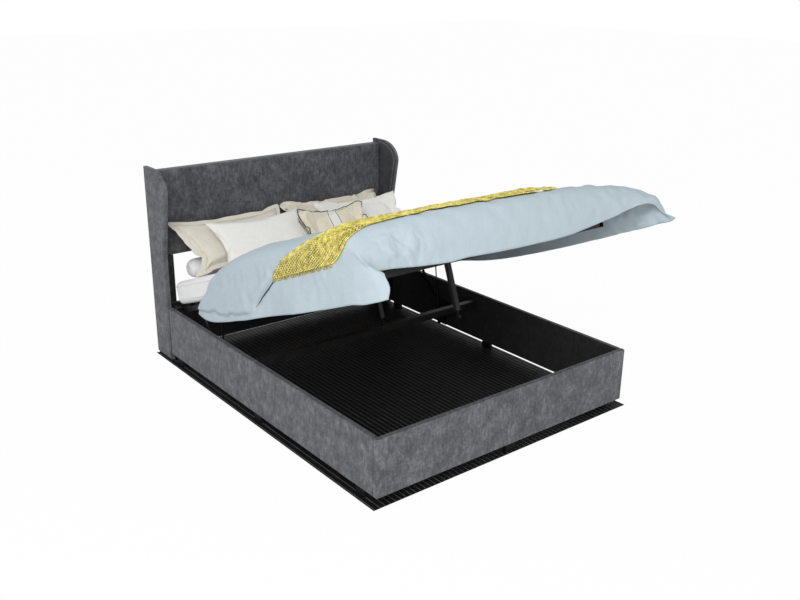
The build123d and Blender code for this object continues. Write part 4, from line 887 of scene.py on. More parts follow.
def crease_duvet(grid):
    """Folds that a quilt gets where it bends, and how much painted shade each point gets in a fold."""
    flat = flattened(grid)
    x, along, above = (flat[..., i] for i in range(3))

    def waves(size, seed, stretch=(1, 1, 1), kind=drift):
        return kind(flat.reshape(-1, 3) * stretch, size, seed).reshape(x.shape)

    # All over: long ripples, with pleats on the drops and small creases in patches.
    drop = share(DROP_FROM - above, DROP_SPAN)
    patches = np.clip(0.4 + waves(0.35, 13), 0, 1)
    push = RIPPLE_DEPTH * waves(0.22, 1, (0.5, 1, 0.5)) + WAVE_DEPTH * waves(0.10, 2, WIDE)
    push += PLEAT_DEPTH * drop * waves(0.19, 3, (0.3, 1.5, 0.3))
    push -= CREASE_DEPTH * patches * waves(0.09, 12, WIDE, ridged)

    # The right corner crumples, the foot end waves and the left corner is gathered.
    flare = share(x - FLARE_FROM[0], FLARE_SPAN[0]) * share(along - FLARE_FROM[1], FLARE_SPAN[1])
    push += CRUMPLE_DEPTH * flare * (waves(0.075, 6) + 0.5 * waves(0.04, 7))
    end = share(along - END_FROM, END_SPAN)
    push += END_WAVE_DEPTH * end * waves(0.13, 8, WIDE)
    gathered = bell(np.linalg.norm((flat - GATHER_PLACE) / GATHER_SIZE, axis=-1), 1)
    creases = GATHER_CREASE_DEPTH * waves(0.06, 10, kind=ridged)
    push += gathered * (GATHER_WAVE_DEPTH * waves(0.07, 9) - creases)

    # One deep tuck slants down the left side.
    left = share(-SIDE_FROM - x, SIDE_SPAN)
    lead = np.subtract(TUCK_END, TUCK_START)
    behind, over = along - TUCK_START[0], above - TUCK_START[1]
    reach = (behind * lead[0] + over * lead[1]) / (lead @ lead)
    aside = (over * lead[0] - behind * lead[1]) / math.hypot(*lead)
    window = left * share(reach + 0.2, 0.1) * share(1.1 - reach, 0.2)
    swell = TUCK_SWELL * bell(aside + TUCK_SWELL_PLACE, TUCK_SWELL_WIDTH)
    push += window * (swell - TUCK_GROOVE * bell(aside, TUCK_GROOVE_WIDTH))

    # The cloth behind the hem at the head end shows below it, a step further in, with painted shade just
    # below the hem's line.
    line = HEM_HEIGHT + HEM_SLOPE * np.clip(HEM_SLOPE_TO - along, 0, 1)
    for place, height in HEM_NOTCHES:
        line = line + height * bell(along - place, HEM_NOTCH_WIDTH)
    head = left * share(HEAD_PART_TO - along, HEAD_PART_SPAN)
    push -= HEM_STEP * head * share(line + HEM_STEP_SPAN / 2 - above, HEM_STEP_SPAN)
    fold = HEM_SHADE * head * bell(above - line + HEM_SHADE_BELOW, HEM_SHADE_WIDTH)
    grid = grid + grid_normals(grid) * push[..., None]
    low = share(LOW_HEM_HEIGHT - above, LOW_HEM_HEIGHT)
    grid[..., 2] -= LOW_HEM_DROP * low * end * share(-LOW_HEM_FROM - x, LOW_HEM_SPAN)
    return grid, fold


def settle_cloth(piece, frames, spare, weights=None, pressure=0.0, stiffness=4.0, bending=2.0):
    """Let cloth with some spare length crumple or fill out, and give its points back."""
    cloth = piece.modifiers.new("cloth", "CLOTH")
    settings = cloth.settings
    if weights is not None:
        group = piece.vertex_groups.new(name="held")
        for index, weight in enumerate(weights):
            group.add([index], float(weight), "REPLACE")
        settings.vertex_group_mass = "held"
        settings.pin_stiffness = 1.0
    if pressure:
        settings.use_pressure = True
        settings.uniform_pressure_force = pressure
    settings.quality = 5
    settings.mass = 0.25
    for strain in ("tension", "compression", "shear"):
        setattr(settings, f"{strain}_stiffness", stiffness)
        setattr(settings, f"{strain}_damping", 8)
    settings.bending_stiffness = bending
    settings.bending_damping = 2
    settings.shrink_min = -spare
    settings.effector_weights.gravity = 0
    cloth.collision_settings.use_collision = False
    cloth.point_cache.frame_start = 1
    cloth.point_cache.frame_end = frames
    scene = bpy.context.scene
    for number in range(1, frames + 1):
        scene.frame_set(number)
    settled = piece.evaluated_get(bpy.context.evaluated_depsgraph_get())
    places = mesh_points(settled.to_mesh())
    settled.to_mesh_clear()
    scene.frame_set(1)
    bpy.data.objects.remove(piece)
    return places


def limited(moved, limit):
    """Moves that are no longer than a limit."""
    return moved * np.minimum(1, limit / np.maximum(np.linalg.norm(moved, axis=-1, keepdims=True), 1e-9))


def evened(field, times):
    """A field on a grid with its smallest waves averaged out."""
    for _ in range(times):
        edged = np.pad(field, ((1, 1), (1, 1), (0, 0)), mode="edge")
        around = edged[:-2, 1:-1] + edged[2:, 1:-1] + edged[1:-1, :-2] + edged[1:-1, 2:]
        field = (around + 2 * field) / 6
    return field


def border_of(number):
    """The numbers of a grid's points, once round its edge."""
    sides = (number[0], number[1:, -1], number[-1, -2::-1], number[-2:0:-1, 0])
    return np.concatenate(sides).tolist()


def thicken(grid, thickness):
    """Closed sheet from a grid: its top, its underside and the four edges between."""
    rows, columns = grid.shape[:2]
    under = grid - grid_normals(grid) * thickness
    vertices = np.concatenate([grid.reshape(-1, 3), under.reshape(-1, 3)])
    number = np.arange(rows * columns).reshape(rows, columns)
    top = grid_faces(rows, columns)
    faces = top + [tuple(number.size + i for i in reversed(face)) for face in top]
    rim = border_of(number)
    for start, end in zip(rim, rim[1:] + rim[:1]):
        faces.append((start, end, number.size + end, number.size + start))
    return vertices, faces


def squash_onto_bed(piece):
    """Give a piece its own copy of its mesh."""
    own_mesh(piece)


def settle_duvet(grid):
    """The sheet after its spare cloth has crumpled, freest on top and held at its edges."""
    shape = grid.shape[:2]
    sheet = make_piece("duvet_settling", grid.reshape(-1, 3), grid_faces(*shape), plastic)
    hold = np.full(shape, HOLD_SIDES)
    hold[np.abs(flattened(grid)[..., 2] - TOP_HEIGHT) < TOP_BULGE] = HOLD_TOP
    hold[[0, -1], :] = HOLD_EDGES
    hold[:, [0, -1]] = HOLD_EDGES
    places = settle_cloth(sheet, DUVET_SETTLE_FRAMES, DUVET_SPARE_CLOTH, hold.ravel())
    return grid + evened(limited(places.reshape(grid.shape) - grid, DUVET_SETTLE_LIMIT), 3)


def make_duvet():
    grid = raised(resampled(np.array(DUVET_ROWS_MM) / 1000, even_spline, DUVET_STEP))
    grid = settle_duvet(grid)
    grid, fold = crease_duvet(resampled(grid, spline, DUVET_FINE_STEP))
    uv = grid_lengths(grid)
    flat = flattened(grid).reshape(-1, 3)
    side = np.where(flat[:, 0] < -SIDE_FROM)[0]
    ends = [uv[side[np.linalg.norm(flat[side, 1:] - place, axis=1).argmin()]]
            for place in (TUCK_START, TUCK_END)]
    finish = cloth_finish("duvet_cotton", (DUVET_DARK, DUVET_LIGHT), threads=700.0, slub=140.0, groove=ends)
    vertices, faces = thicken(grid, DUVET_THICKNESS)
    piece = make_piece("duvet_cover", vertices, faces, finish, np.concatenate([uv, uv]))
    # The fold attribute carries the painted shade under the hem.
    depth = piece.data.attributes.new("fold", "FLOAT", "POINT")
    depth.data.foreach_set("value", np.tile(fold.ravel(), 2).astype(np.float32))
    rows, columns = grid.shape[:2]
    uv = uv.reshape(rows, columns, 2)
    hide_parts("duvet")
    squash_onto_bed(piece)
    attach(piece, "platform")
    return grid


duvet_surface = make_duvet()


# Pillows. Two flanged linen pillows stand against the headboard, two plain cotton ones lean on
# them and a piped linen cushion stands in front. Each case is two panels sewn together and
# filled with down, so it crowns in the middle and pulls in between its corners.

PILLOW_LEAN = math.radians(31)
CASE_STEP = 0.012
CASE_DRAW = 0.045
CASE_SQUARENESS = 2.6
CASE_ROUNDNESS = 0.6
CASE_CLEAR = 0.001
CASE_FULLNESS = 0.8
CASE_LUMPS = 0.12
CASE_LUMP_SIZE = 0.12
CASE_START_LUMPS = 0.0016
CASE_START_LUMP_SIZE = 0.05
CASE_PRESSURE = 2.2
CASE_SPARE_CLOTH = 0.05
CASE_SETTLE_LIMIT = 0.03
CASE_SETTLE_FRAMES = 18
FLANGE_WIDTH = 0.026
FLANGE_THICKNESS = 0.0022
FLANGE_WAVE = 0.011
FLANGE_WAVE_SIZE = 0.085
FLANGE_SHARES = (-0.25, 0.1, 0.4, 0.7, 1.0)
CORNER_REACH = 0.16
TUCK_PROFILE = ((0, 0.5), (0.15, 0.85), (0.26, 1.0), (0.32, 0.9), (0.38, 0.3), (0.48, 0.3), (0.62, 0.0))
CREAM = ((0.68, 0.645, 0.55), (0.75, 0.72, 0.635))
WHITE = ((0.80, 0.79, 0.75), (0.89, 0.885, 0.85))


def leaned(points, lean):
    """Places on the open bed of points given across, up and out from a leaning cushion."""
    points = np.asarray(points, dtype=float)
    across, up, out = (points[..., i] for i in range(3))
    along = out * math.cos(lean) - up * math.sin(lean)
    above = out * math.sin(lean) + up * math.cos(lean)
    return raised(np.stack([across, along, above], axis=-1))


def leaning_box(node, lean):
    """Lowest and highest places of a CAD cushion across, up and out from it."""
    x, along, above = flat_points(node).T
    up = above * math.cos(lean) - along * math.sin(lean)
    out = above * math.sin(lean) + along * math.cos(lean)
    own = np.stack([x, up, out], axis=-1)
    return own.min(axis=0), own.max(axis=0)


def case_form(size, seed):
    """Closed case of two panels that share their seam: points, faces, UV places and seam."""
    width, height, depth = size
    columns, rows = round(width / CASE_STEP) + 1, round(height / CASE_STEP) + 1
    u, v = np.meshgrid(np.linspace(-1, 1, columns), np.linspace(-1, 1, rows))
    crown = ((1 - np.abs(u) ** CASE_SQUARENESS) * (1 - np.abs(v) ** CASE_SQUARENESS)) ** CASE_ROUNDNESS
    x = u * width / 2 * (1 - CASE_DRAW * (1 - v ** 2) * np.abs(u) ** 3)
    y = v * height / 2 * (1 - 1.5 * CASE_DRAW * (1 - u ** 2) * np.abs(v) ** 3)
    lumps = drift(np.stack([x, y, 0 * x], axis=-1).reshape(-1, 3), CASE_LUMP_SIZE, seed).reshape(x.shape)
    z = depth / 2 * crown * (1 + CASE_LUMPS * lumps) * CASE_FULLNESS
    front = np.arange(rows * columns).reshape(rows, columns)
    back = front.copy()
    back[1:-1, 1:-1] = front.size + np.arange((rows - 2) * (columns - 2)).reshape(rows - 2, -1)
    rear = np.stack([x, y, -z], axis=-1)[1:-1, 1:-1]
    points = np.concatenate([np.stack([x, y, z], axis=-1).reshape(-1, 3), rear.reshape(-1, 3)])
    flat = np.stack([u * width / 2, v * height / 2], axis=-1)
    uv = np.concatenate([flat.reshape(-1, 2), flat[1:-1, 1:-1].reshape(-1, 2)])
    faces = []
    for panel, way in ((front, 1), (back, -1)):
        corners = (panel[:-1, :-1], panel[:-1, 1:], panel[1:, 1:], panel[1:, :-1])
        faces += np.stack(corners[::way], axis=-1).reshape(-1, 4).tolist()
    return points, faces, uv, border_of(front)


def fit_between(points, low, high):
    """Points stretched along each axis so that they fill a box."""
    lowest, highest = points.min(axis=0), points.max(axis=0)
    return low + (points - lowest) / (highest - lowest) * (high - low)


def plump(points, faces, seed):
    """Fill a case with down: pressure inside cloth that has a little to spare."""
    lumps = [drift(points, CASE_START_LUMP_SIZE, seed + k) for k in range(3)]
    start = points + CASE_START_LUMPS * np.stack(lumps, axis=-1)
    case = make_piece("case_filling", start, faces, bpy.data.materials["mattress_knit"])
    settled = settle_cloth(case, CASE_SETTLE_FRAMES, CASE_SPARE_CLOTH, pressure=CASE_PRESSURE,
                           stiffness=8.0, bending=0.6)
    return start + limited(settled - start, CASE_SETTLE_LIMIT)


def outward(loop):
    """Directions in the cushion's plane that lead out from a closed seam, long at corners."""
    edges = np.roll(loop, -1, axis=0)[:, :2] - loop[:, :2]
    edges /= np.linalg.norm(edges, axis=1, keepdims=True)
    after = np.stack([edges[:, 1], -edges[:, 0]], axis=-1)
    both = after + np.roll(after, 1, axis=0)
    both /= np.linalg.norm(both, axis=1, keepdims=True)
    stretch = 1 / np.maximum(0.65, (both * after).sum(axis=1, keepdims=True))
    return np.concatenate([both * stretch, np.zeros((len(loop), 1))], axis=1)


def flange_shape(loop, seed, flop):
    """A flat wavy border beyond the seam, with one top corner that flops forward."""
    lead = outward(loop)
    wave = FLANGE_WAVE * drift(loop, FLANGE_WAVE_SIZE, seed)
    corner = share(loop[:, 0] / loop[:, 0].max() + loop[:, 1] / loop[:, 1].max() - 1.5, 0.5)
    reach = np.abs(loop[:, :2]).max(axis=0) + FLANGE_WIDTH
    corners = np.sign(loop[:, :2]) * reach
    nearness = (np.abs(loop[:, :2]) / reach).sum(axis=1)
    quarter = (loop[:, 0] > 0) * 2 + (loop[:, 1] > 0)
    peak = np.array([nearness[quarter == q].max() for q in range(4)])[quarter]
    sharp = share(nearness - peak + CORNER_REACH, CORNER_REACH)[:, None] ** 1.5 * 0.9
    rings = []
    for side, order in ((0.5, FLANGE_SHARES), (-0.5, FLANGE_SHARES[::-1])):
        for part in order:
            beyond = max(part, 0)
            ring = loop + lead * FLANGE_WIDTH * part
            ring[:, :2] += (corners - ring[:, :2]) * sharp * beyond
            ring[:, 2] += beyond ** 1.5 * (wave + flop * corner) + side * FLANGE_THICKNESS
            rings.append(ring)
    return np.concatenate(rings), ring_faces(len(rings), len(loop), closed=True)


def make_case(name, node, lean, finish, seed, flange=False, flop=0.0, sink=0.12, tucked=0.0):
    """One filled case in the place of its CAD cushion; gives back its seam for the piping.

    A negative tuck draws the lower left corner in, and a positive one the lower right.
    """
    low, high = leaning_box(node, lean)
    low, high = low + CASE_CLEAR, high - CASE_CLEAR
    if flange:
        edge = np.array([FLANGE_WIDTH, FLANGE_WIDTH, 0.0])
        low, high = low + edge, high - edge
    points, faces, uv, seam = case_form(high - low, seed)
    points = plump(points, faces, seed)
    points[:, 2] *= 1 - sink * points[:, 1] / np.abs(points[:, 1]).max()
    points = fit_between(points, low, high)
    middle = (low + high) / 2
    sideways = share((points[:, 0] - middle[0]) * np.sign(tucked or 1), high[0] - middle[0])
    rise = (points[:, 1] - low[1]) / (high[1] - low[1])
    points[:, 0] -= tucked * sideways ** 2 * np.interp(rise, *zip(*TUCK_PROFILE))
    loop = points[seam]
    if flange:
        border, border_faces = flange_shape(loop - middle, seed + 5, flop)
        points, faces = join_shapes((points, faces), (border + middle, border_faces))
        uv = np.concatenate([uv, border[:, :2]])
    piece = make_piece(name, leaned(points, lean), faces, finish, uv)
    smooth = piece.modifiers.new("smooth", "SUBSURF")
    smooth.levels = smooth.render_levels = 1
    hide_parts(node)
    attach(piece, "platform")
    return leaned(loop, lean)


case_linen = cloth_finish("case_linen", CREAM, threads=620.0, relief=0.0005)
case_cotton = cloth_finish("case_cotton", WHITE, threads=420.0, relief=0.0008, slub=260.0)
for side, seed, flop, tucked in (("left", 11, 0.0, -0.080), ("right", 23, 0.012, 0.03)):
    make_case(f"back_pillow_case_{side}", f"back_pillow_{side}", PILLOW_LEAN, case_linen,
              seed, flange=True, flop=flop, tucked=tucked)
for side, seed in (("left", 37), ("right", 41)):
    make_case(f"front_pillow_case_{side}", f"front_pillow_{side}", PILLOW_LEAN, case_cotton,
              seed)


# Small cushion. Beige linen with a sewn white band between two dark lines, and dark piping set
# into the seam all round.

CUSHION_LEAN = math.radians(20)
CUSHION_PIPING = 0.0028
PIPING_BLACK = (0.03, 0.03, 0.034)
CUSHION_LINEN = ((0.70, 0.65, 0.51), (0.80, 0.75, 0.61))
BAND_FROM, BAND_TO = -0.035, 0.022
BAND_LINE = 0.004
BAND_WHITE = (0.8, 0.79, 0.75)
BAND_BLACK = (0.03, 0.03, 0.035)


def cushion_finish():
    shade = Shader("banded_linen")
    where = shade.place(source="UV")
    tint, normal = woven(shade, where, threads=560.0, slub=150.0, weave_share=0.15,
                         crease_scale=24.0, strength=0.5, distance=0.003)
    color = shade.ramp(tint, *zip((0.3, 0.7), CUSHION_LINEN))
    reach = shade.axes(where)["X"]
    for start, end, cloth in ((BAND_FROM - 3 * BAND_LINE, BAND_FROM - BAND_LINE, BAND_WHITE),
                              (BAND_FROM - BAND_LINE, BAND_TO + BAND_LINE, BAND_BLACK),
                              (BAND_FROM, BAND_TO, BAND_WHITE)):
        past = shade.math("GREATER_THAN", reach, start)
        short = shade.math("LESS_THAN", reach, end)
        color = shade.mix(shade.math("MULTIPLY", past, short), color, cloth)
    return shade.finish(color, 0.85, normal)


def make_piping(name, loop, radius, material):
    """A thin cord sewn into a seam."""
    piece = make_piece(name, *tube_along(loop, radius), material)
    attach(piece, "platform")


piping_dark = Shader("dark_piping").finish(PIPING_BLACK, 0.8)
cushion_seam = make_case("lumbar_cushion_case", "lumbar_cushion", CUSHION_LEAN, cushion_finish(),
                         53)
make_piping("lumbar_cushion_piping", cushion_seam, CUSHION_PIPING, piping_dark)


# Bolster. A long roll of white cotton against the headboard, gathered into soft folds round
# both of its ends.

BOLSTER_END_ROUND = 0.065
BOLSTER_GATHERS = 22
BOLSTER_GATHER_REACH = 0.045
BOLSTER_GATHER_DEPTH = 0.0012
BOLSTER_LUMPS = 0.0025
BOLSTER_GATHER_SHIFT = 0.0008
BOLSTER_SIDES = 66
BOLSTER_RINGS = 60
BOLSTER_RIM_DEPTH = 0.002
BOLSTER_PUFF = 0.4
BOLSTER_PUFF_DEPTH = 0.004
BOLSTER_PUFF_RISE = 0.002
BOLSTER_PUFF_RINGS = (0.12, 0.3, 0.5, 0.75, 1.0)
BOLSTER_TIP_DEPTH = 0.005
BOLSTER_BODY_FROM = 0.08
BOLSTER_FLAT_DEPTH = 0.001
BOLSTER_SHIFT = 0.022
BOLSTER_WHITE = ((0.82, 0.82, 0.83), (0.88, 0.88, 0.89))


def bolster_form():
    """Rings along the roll: a puffed end, the long body and the other end."""
    points = flat_points("bolster")
    low, high = points.min(axis=0), points.max(axis=0)
    radius = (high[2] - low[2]) / 2
    centre = (low + high) / 2 - (BOLSTER_SHIFT, 0, 0)
    half = (high[0] - low[0]) / 2
    end = [(half - BOLSTER_PUFF_DEPTH + BOLSTER_PUFF_RISE * part, radius * BOLSTER_PUFF * part)
           for part in BOLSTER_PUFF_RINGS]
    for angle in np.arange(1, 9) / 8 * math.pi / 2:
        reach = half - BOLSTER_RIM_DEPTH - BOLSTER_END_ROUND * (1 - math.cos(angle))
        end.append((reach, radius * (BOLSTER_PUFF + (1 - BOLSTER_PUFF) * math.sin(angle))))
    straight = half - BOLSTER_BODY_FROM
    body = [(x, radius) for x in np.linspace(straight, -straight, BOLSTER_RINGS)]
    profile = end + body + [(-x, r) for x, r in reversed(end)]
    vertices = []
    for x, r in profile:
        gather = max(0.0, abs(x) - (half - BOLSTER_GATHER_REACH)) / BOLSTER_GATHER_REACH
        for angle in 2 * math.pi * np.arange(BOLSTER_SIDES) / BOLSTER_SIDES:
            fold = gather * (1 - math.cos(BOLSTER_GATHERS * angle + 1.3 * math.sin(3 * angle)))
            lump = noise.noise(Vector((x * 5, math.cos(angle), math.sin(angle))))
            reach = r - BOLSTER_GATHER_DEPTH * fold - BOLSTER_LUMPS * (1 - gather) * (1 + lump)
            above = max(reach * math.sin(angle), -radius + BOLSTER_FLAT_DEPTH)
            shift = math.copysign(BOLSTER_GATHER_SHIFT * fold, x)
            vertices.append(centre + (x - shift, reach * math.cos(angle), above))
    vertices += [centre + (side * (half - BOLSTER_TIP_DEPTH), 0, 0) for side in (1, -1)]
    return vertices, ring_faces(len(profile), BOLSTER_SIDES) + tip_faces(len(profile), BOLSTER_SIDES)


def make_bolster():
    vertices, faces = bolster_form()
    finish = cloth_finish("bolster_cotton", BOLSTER_WHITE, threads=600.0, source="Object")
    piece = make_piece("bolster_roll", raised(vertices), faces, finish)
    smooth = piece.modifiers.new("smooth", "SUBSURF")
    smooth.levels = smooth.render_levels = 1
    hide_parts("bolster")
    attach(piece, "platform")


make_bolster()


# Throw. A chunky knit in mustard wool, laid across the foot of the duvet with its end hanging
# aslant down the left side. Thick yarn is looped in upright rows of V shaped stitches on a
# loose ground, whose dark ochre colour is painted shade in the gaps between the stitches, and
# short ends hang from the hem.

# From the left hem to the right end: one edge's shares down and across the duvet, the other
# edge's, and how far the knit rises between them.
THROW_STATIONS = (
    (0.450, 0.078, 0.800, 0.086, 0.004),
    (0.520, 0.107, 0.838, 0.096, 0.005),
    (0.598, 0.122, 0.870, 0.115, 0.006),
    (0.672, 0.136, 0.880, 0.146, 0.007),
    (0.722, 0.160, 0.866, 0.206, 0.010),
    (0.695, 0.305, 0.868, 0.324, 0.012),
    (0.679, 0.432, 0.868, 0.432, 0.011),
    (0.683, 0.518, 0.870, 0.525, 0.012),
    (0.683, 0.604, 0.870, 0.612, 0.018),
    (0.683, 0.705, 0.867, 0.705, 0.010),
)
WALES = 22
STITCH_LENGTH = 0.0155
STITCH_WIDTH = 0.0182
YARN_RADIUS = 0.0023
CABLE_PITCH = 5
CABLE_LIFT = 0.0055
THROW_GROUND = 0.0015
THROW_CLEAR = 0.0036
THROW_LUMP_SIZE = 0.12
FRINGE_LENGTH = 0.022
FRINGE_ENDS = 84
FRINGE_SWAY = 0.5
FRINGE_SLANT = 0.5
FRINGE_RADIUS = 0.0023
DUVET_GAP = 0.0008
KNIT_GAP_SHADE_DARK = (0.075, 0.052, 0.003)
KNIT_GAP_SHADE_LIGHT = (0.18, 0.13, 0.008)
MUSTARD_DARK = (0.33, 0.255, 0.018)
MUSTARD_MIDDLE = (0.62, 0.51, 0.06)
MUSTARD_LIGHT = (0.95, 0.85, 0.20)


def on_duvet(down, across):
    """Points on the duvet at shares of the way down and across it, and their normals."""
    grids = (duvet_surface, grid_normals(duvet_surface))
    row, column = (np.clip(at * (count - 1), 0, count - 1.001)
                   for at, count in zip((down, across), duvet_surface.shape))
    r, c = row.astype(int), column.astype(int)
    fr, fc = (row - r)[..., None], (column - c)[..., None]
    return [(grid[r, c] * (1 - fc) + grid[r, c + 1] * fc) * (1 - fr)
            + (grid[r + 1, c] * (1 - fc) + grid[r + 1, c + 1] * fc) * fr for grid in grids]


def reach_along(path):
    """How far each point of a path is from its start."""
    return np.concatenate([[0], np.cumsum(np.linalg.norm(np.diff(path, axis=0), axis=1))])


def throw_grid():
    """Points of the throw on the duvet, from the left hem to its right end, and their normals."""
    path = spline(THROW_STATIONS, 400)
    reach = reach_along(on_duvet((path[:, 0] + path[:, 2]) / 2, (path[:, 1] + path[:, 3]) / 2)[0])
    count = int(round(reach[-1] / STITCH_LENGTH))
    wanted = (np.arange(count) + 0.5) / count * reach[-1]
    path = np.stack([np.interp(wanted, reach, path[:, k]) for k in range(5)], axis=-1)
    part = (np.arange(WALES) + 0.5) / WALES
    row = path[:, 0:1] * (1 - part) + path[:, 2:3] * part
    column = path[:, 1:2] * (1 - part) + path[:, 3:4] * part
    points, up = on_duvet(row, column)
    puff = np.sin(np.pi * part) ** 0.6
    uneven = drift(flattened(points).reshape(-1, 3), THROW_LUMP_SIZE, seed=71).reshape(row.shape)
    cable = CABLE_LIFT * (0.5 + 0.5 * np.cos(2 * np.pi * np.arange(WALES) / CABLE_PITCH))
    lift = THROW_CLEAR + cable * puff + path[:, 4:5] * puff * (1 + 0.5 * uneven)
    return points + up * lift[..., None], up, row, column


def start_repeats(name, sizes):
    """An empty Geometry Nodes tree with a named input for each size."""
    return new_group("GeometryNodeTree", name, {"Geometry": "Geometry", **sizes}, {"Geometry": "Geometry"})


def repeat_on_points(work, given, result, shape, material):
    """A shape on every point, turned to the point's own axes, made real and painted."""
    axes = {}
    for label, socket in (("outward", "Primary Axis"), ("forward", "Secondary Axis")):
        read = work.add("GeometryNodeInputNamedAttribute", {"Name": label}, data_type="FLOAT_VECTOR")
        axes[socket] = read.outputs["Attribute"]
    turn = work.add("FunctionNodeAxesToRotation", axes, primary_axis="Z", secondary_axis="Y").outputs[0]
    fed = {"Points": given["Geometry"], "Instance": shape, "Rotation": turn}
    put = work.add("GeometryNodeInstanceOnPoints", fed).outputs[0]
    real = work.add("GeometryNodeRealizeInstances", {0: put}).outputs[0]
    smooth = work.add("GeometryNodeSetShadeSmooth", {"Geometry": real}).outputs[0]
    paint = work.add("GeometryNodeSetMaterial", {"Geometry": smooth, "Material": material})
    work.feed(result["Geometry"], paint.outputs[0])
    return work.tree


def grown(name, points, outward, forward, tree, values):
    """A plain mesh piece from a tree's repeats on the given points."""
    mesh = bpy.data.meshes.new(name)
    mesh.from_pydata([tuple(p) for p in np.asarray(points).reshape(-1, 3)], [], [])
    for label, vectors in (("outward", outward), ("forward", forward)):
        layer = mesh.attributes.new(label, "FLOAT_VECTOR", "POINT")
        layer.data.foreach_set("vector", np.array(vectors, dtype=float).ravel())
    seedbed = bpy.data.objects.new(name, mesh)
    bpy.context.scene.collection.objects.link(seedbed)
    repeat = seedbed.modifiers.new("repeat", "NODES")
    repeat.node_group = tree
    for item in tree.interface.items_tree:
        if item.item_type == "SOCKET" and item.name in values:
            repeat[item.identifier] = values[item.name]
    graph = bpy.context.evaluated_depsgraph_get()
    final = bpy.data.meshes.new_from_object(seedbed.evaluated_get(graph), depsgraph=graph)
    bpy.data.objects.remove(seedbed)
    piece = bpy.data.objects.new(name, final)
    bpy.context.scene.collection.objects.link(piece)
    return piece


def bent_yarn(work, size, sides, radius, *bend):
    """Yarn that bends through three places, each given as shares of the stitch's size."""
    fed = {"Resolution": 3}
    for socket, part in zip(("Start", "Middle", "End"), bend):
        fed[socket] = work.add("ShaderNodeVectorMath", {0: size, 1: part}, operation="MULTIPLY").outputs[0]
    curve = work.add("GeometryNodeCurveQuadraticBezier", fed).outputs[0]
    ring = work.add("GeometryNodeCurvePrimitiveCircle", {"Resolution": sides, "Radius": radius})
    fed = {"Curve": curve, "Profile Curve": ring.outputs["Curve"], "Fill Caps": True}
    return work.add("GeometryNodeCurveToMesh", fed).outputs[0]


STITCH_SIZES = {"Stitch Width": STITCH_WIDTH, "Stitch Length": STITCH_LENGTH, "Yarn Radius": YARN_RADIUS}


def knit_tree(material):
    """V shaped stitches: two bent legs of yarn, mirrored, on every point."""
    work, given, result = start_repeats("knit_stitches", STITCH_SIZES)
    size = work.add("ShaderNodeCombineXYZ", dict(zip("XYZ", (given[label] for label in STITCH_SIZES))))
    both = work.add("GeometryNodeJoinGeometry")
    for side in (-1, 1):
        leg = bent_yarn(work, size.outputs[0], 5, given["Yarn Radius"],
                        (side * 0.07, -0.62, -0.35), (side * 0.30, -0.15, 1.7), (side * 0.36, 0.62, -0.5))
        work.feed(both.inputs[0], leg)
    return repeat_on_points(work, given, result, both.outputs[0], material)


def wool_finish(name, dark, light):
    shade = Shader(name)
    where = shade.place()
    broad = shade.noise(where, 38.0)
    fibre = shade.noise(where, 900.0, 3.0, 0.7)
    both = shade.math("ADD", shade.math("MULTIPLY", broad, 0.6), shade.math("MULTIPLY", fibre, 0.4))
    color = shade.ramp(both, (0.39, dark), (0.59, light))
    return shade.finish(color, 0.92, shade.bump(fibre, 0.6, 0.0012), sheen_weight=0.45, sheen_roughness=0.5)


def fringe_form(row, column):
    """Short loose ends of yarn that hang from the hem down the duvet's side."""
    number = np.arange(FRINGE_ENDS)[:, None]
    shares = np.array([-0.25, 0.2, 0.6, 1.0])
    wale = np.arange(WALES)
    place = number / (FRINGE_ENDS - 1) * wale[-1] + FRINGE_SWAY * np.sin(2.4 * number) * shares ** 2
    reach = FRINGE_LENGTH * (0.75 + 0.25 * np.sin(1.7 * number)) * shares
    points, up = on_duvet(np.interp(place, wale, row[0]) - FRINGE_SLANT * reach / DUVET_LENGTH,
                          np.interp(place, wale, column[0]) - reach / DUVET_REACH)
    paths = points + up * (FRINGE_RADIUS + DUVET_GAP)
    return join_shapes(*[tube_along(path, FRINGE_RADIUS, 4, closed=False) for path in paths])


def make_throw():
    grid, up, row, column = throw_grid()
    along = np.gradient(grid, axis=0)
    along /= np.linalg.norm(along, axis=-1, keepdims=True)
    wool = wool_finish("mustard_wool", MUSTARD_DARK, MUSTARD_LIGHT)
    # Painted shade: the ground between the stitches is painted dark ochre.
    ground = wool_finish("mustard_ground", KNIT_GAP_SHADE_DARK, KNIT_GAP_SHADE_LIGHT)
    vertices, faces = thicken(grid - up * THROW_GROUND, THROW_GROUND)
    sheet = make_piece("throw_ground", vertices, faces, ground, np.tile(grid_lengths(grid), (2, 1)))
    places = grid + up * YARN_RADIUS * 0.4
    stitches = grown("throw_stitches", places, up, along, knit_tree(wool), STITCH_SIZES)
    loose = wool_finish("fringe_wool", MUSTARD_DARK, MUSTARD_MIDDLE)
    fringe = make_piece("throw_fringe", *fringe_form(row, column), loose)
    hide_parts("throw")
    for piece in (sheet, stitches, fringe):
        squash_onto_bed(piece)
        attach(piece, "platform")


make_throw()


# Welts and stitching. A thin velvet welt runs round both faces of each wing, a finger's width
# inside the edge, with a row of grey top stitches beside it.

BORDER_STEP = 0.004
WELT_INSET = 0.009
WELT_RADIUS = 0.0019
WELT_STEP = 0.012
STITCH_INSET = 0.015
STITCH_PITCH = 0.0075
THREAD_SIZES = {"Run": 0.0052, "Thread Radius": 0.0006}
THREAD_DARK = (0.17, 0.175, 0.19)
THREAD_LIGHT = (0.3, 0.305, 0.32)
FACE_TOLERANCE = 0.00002


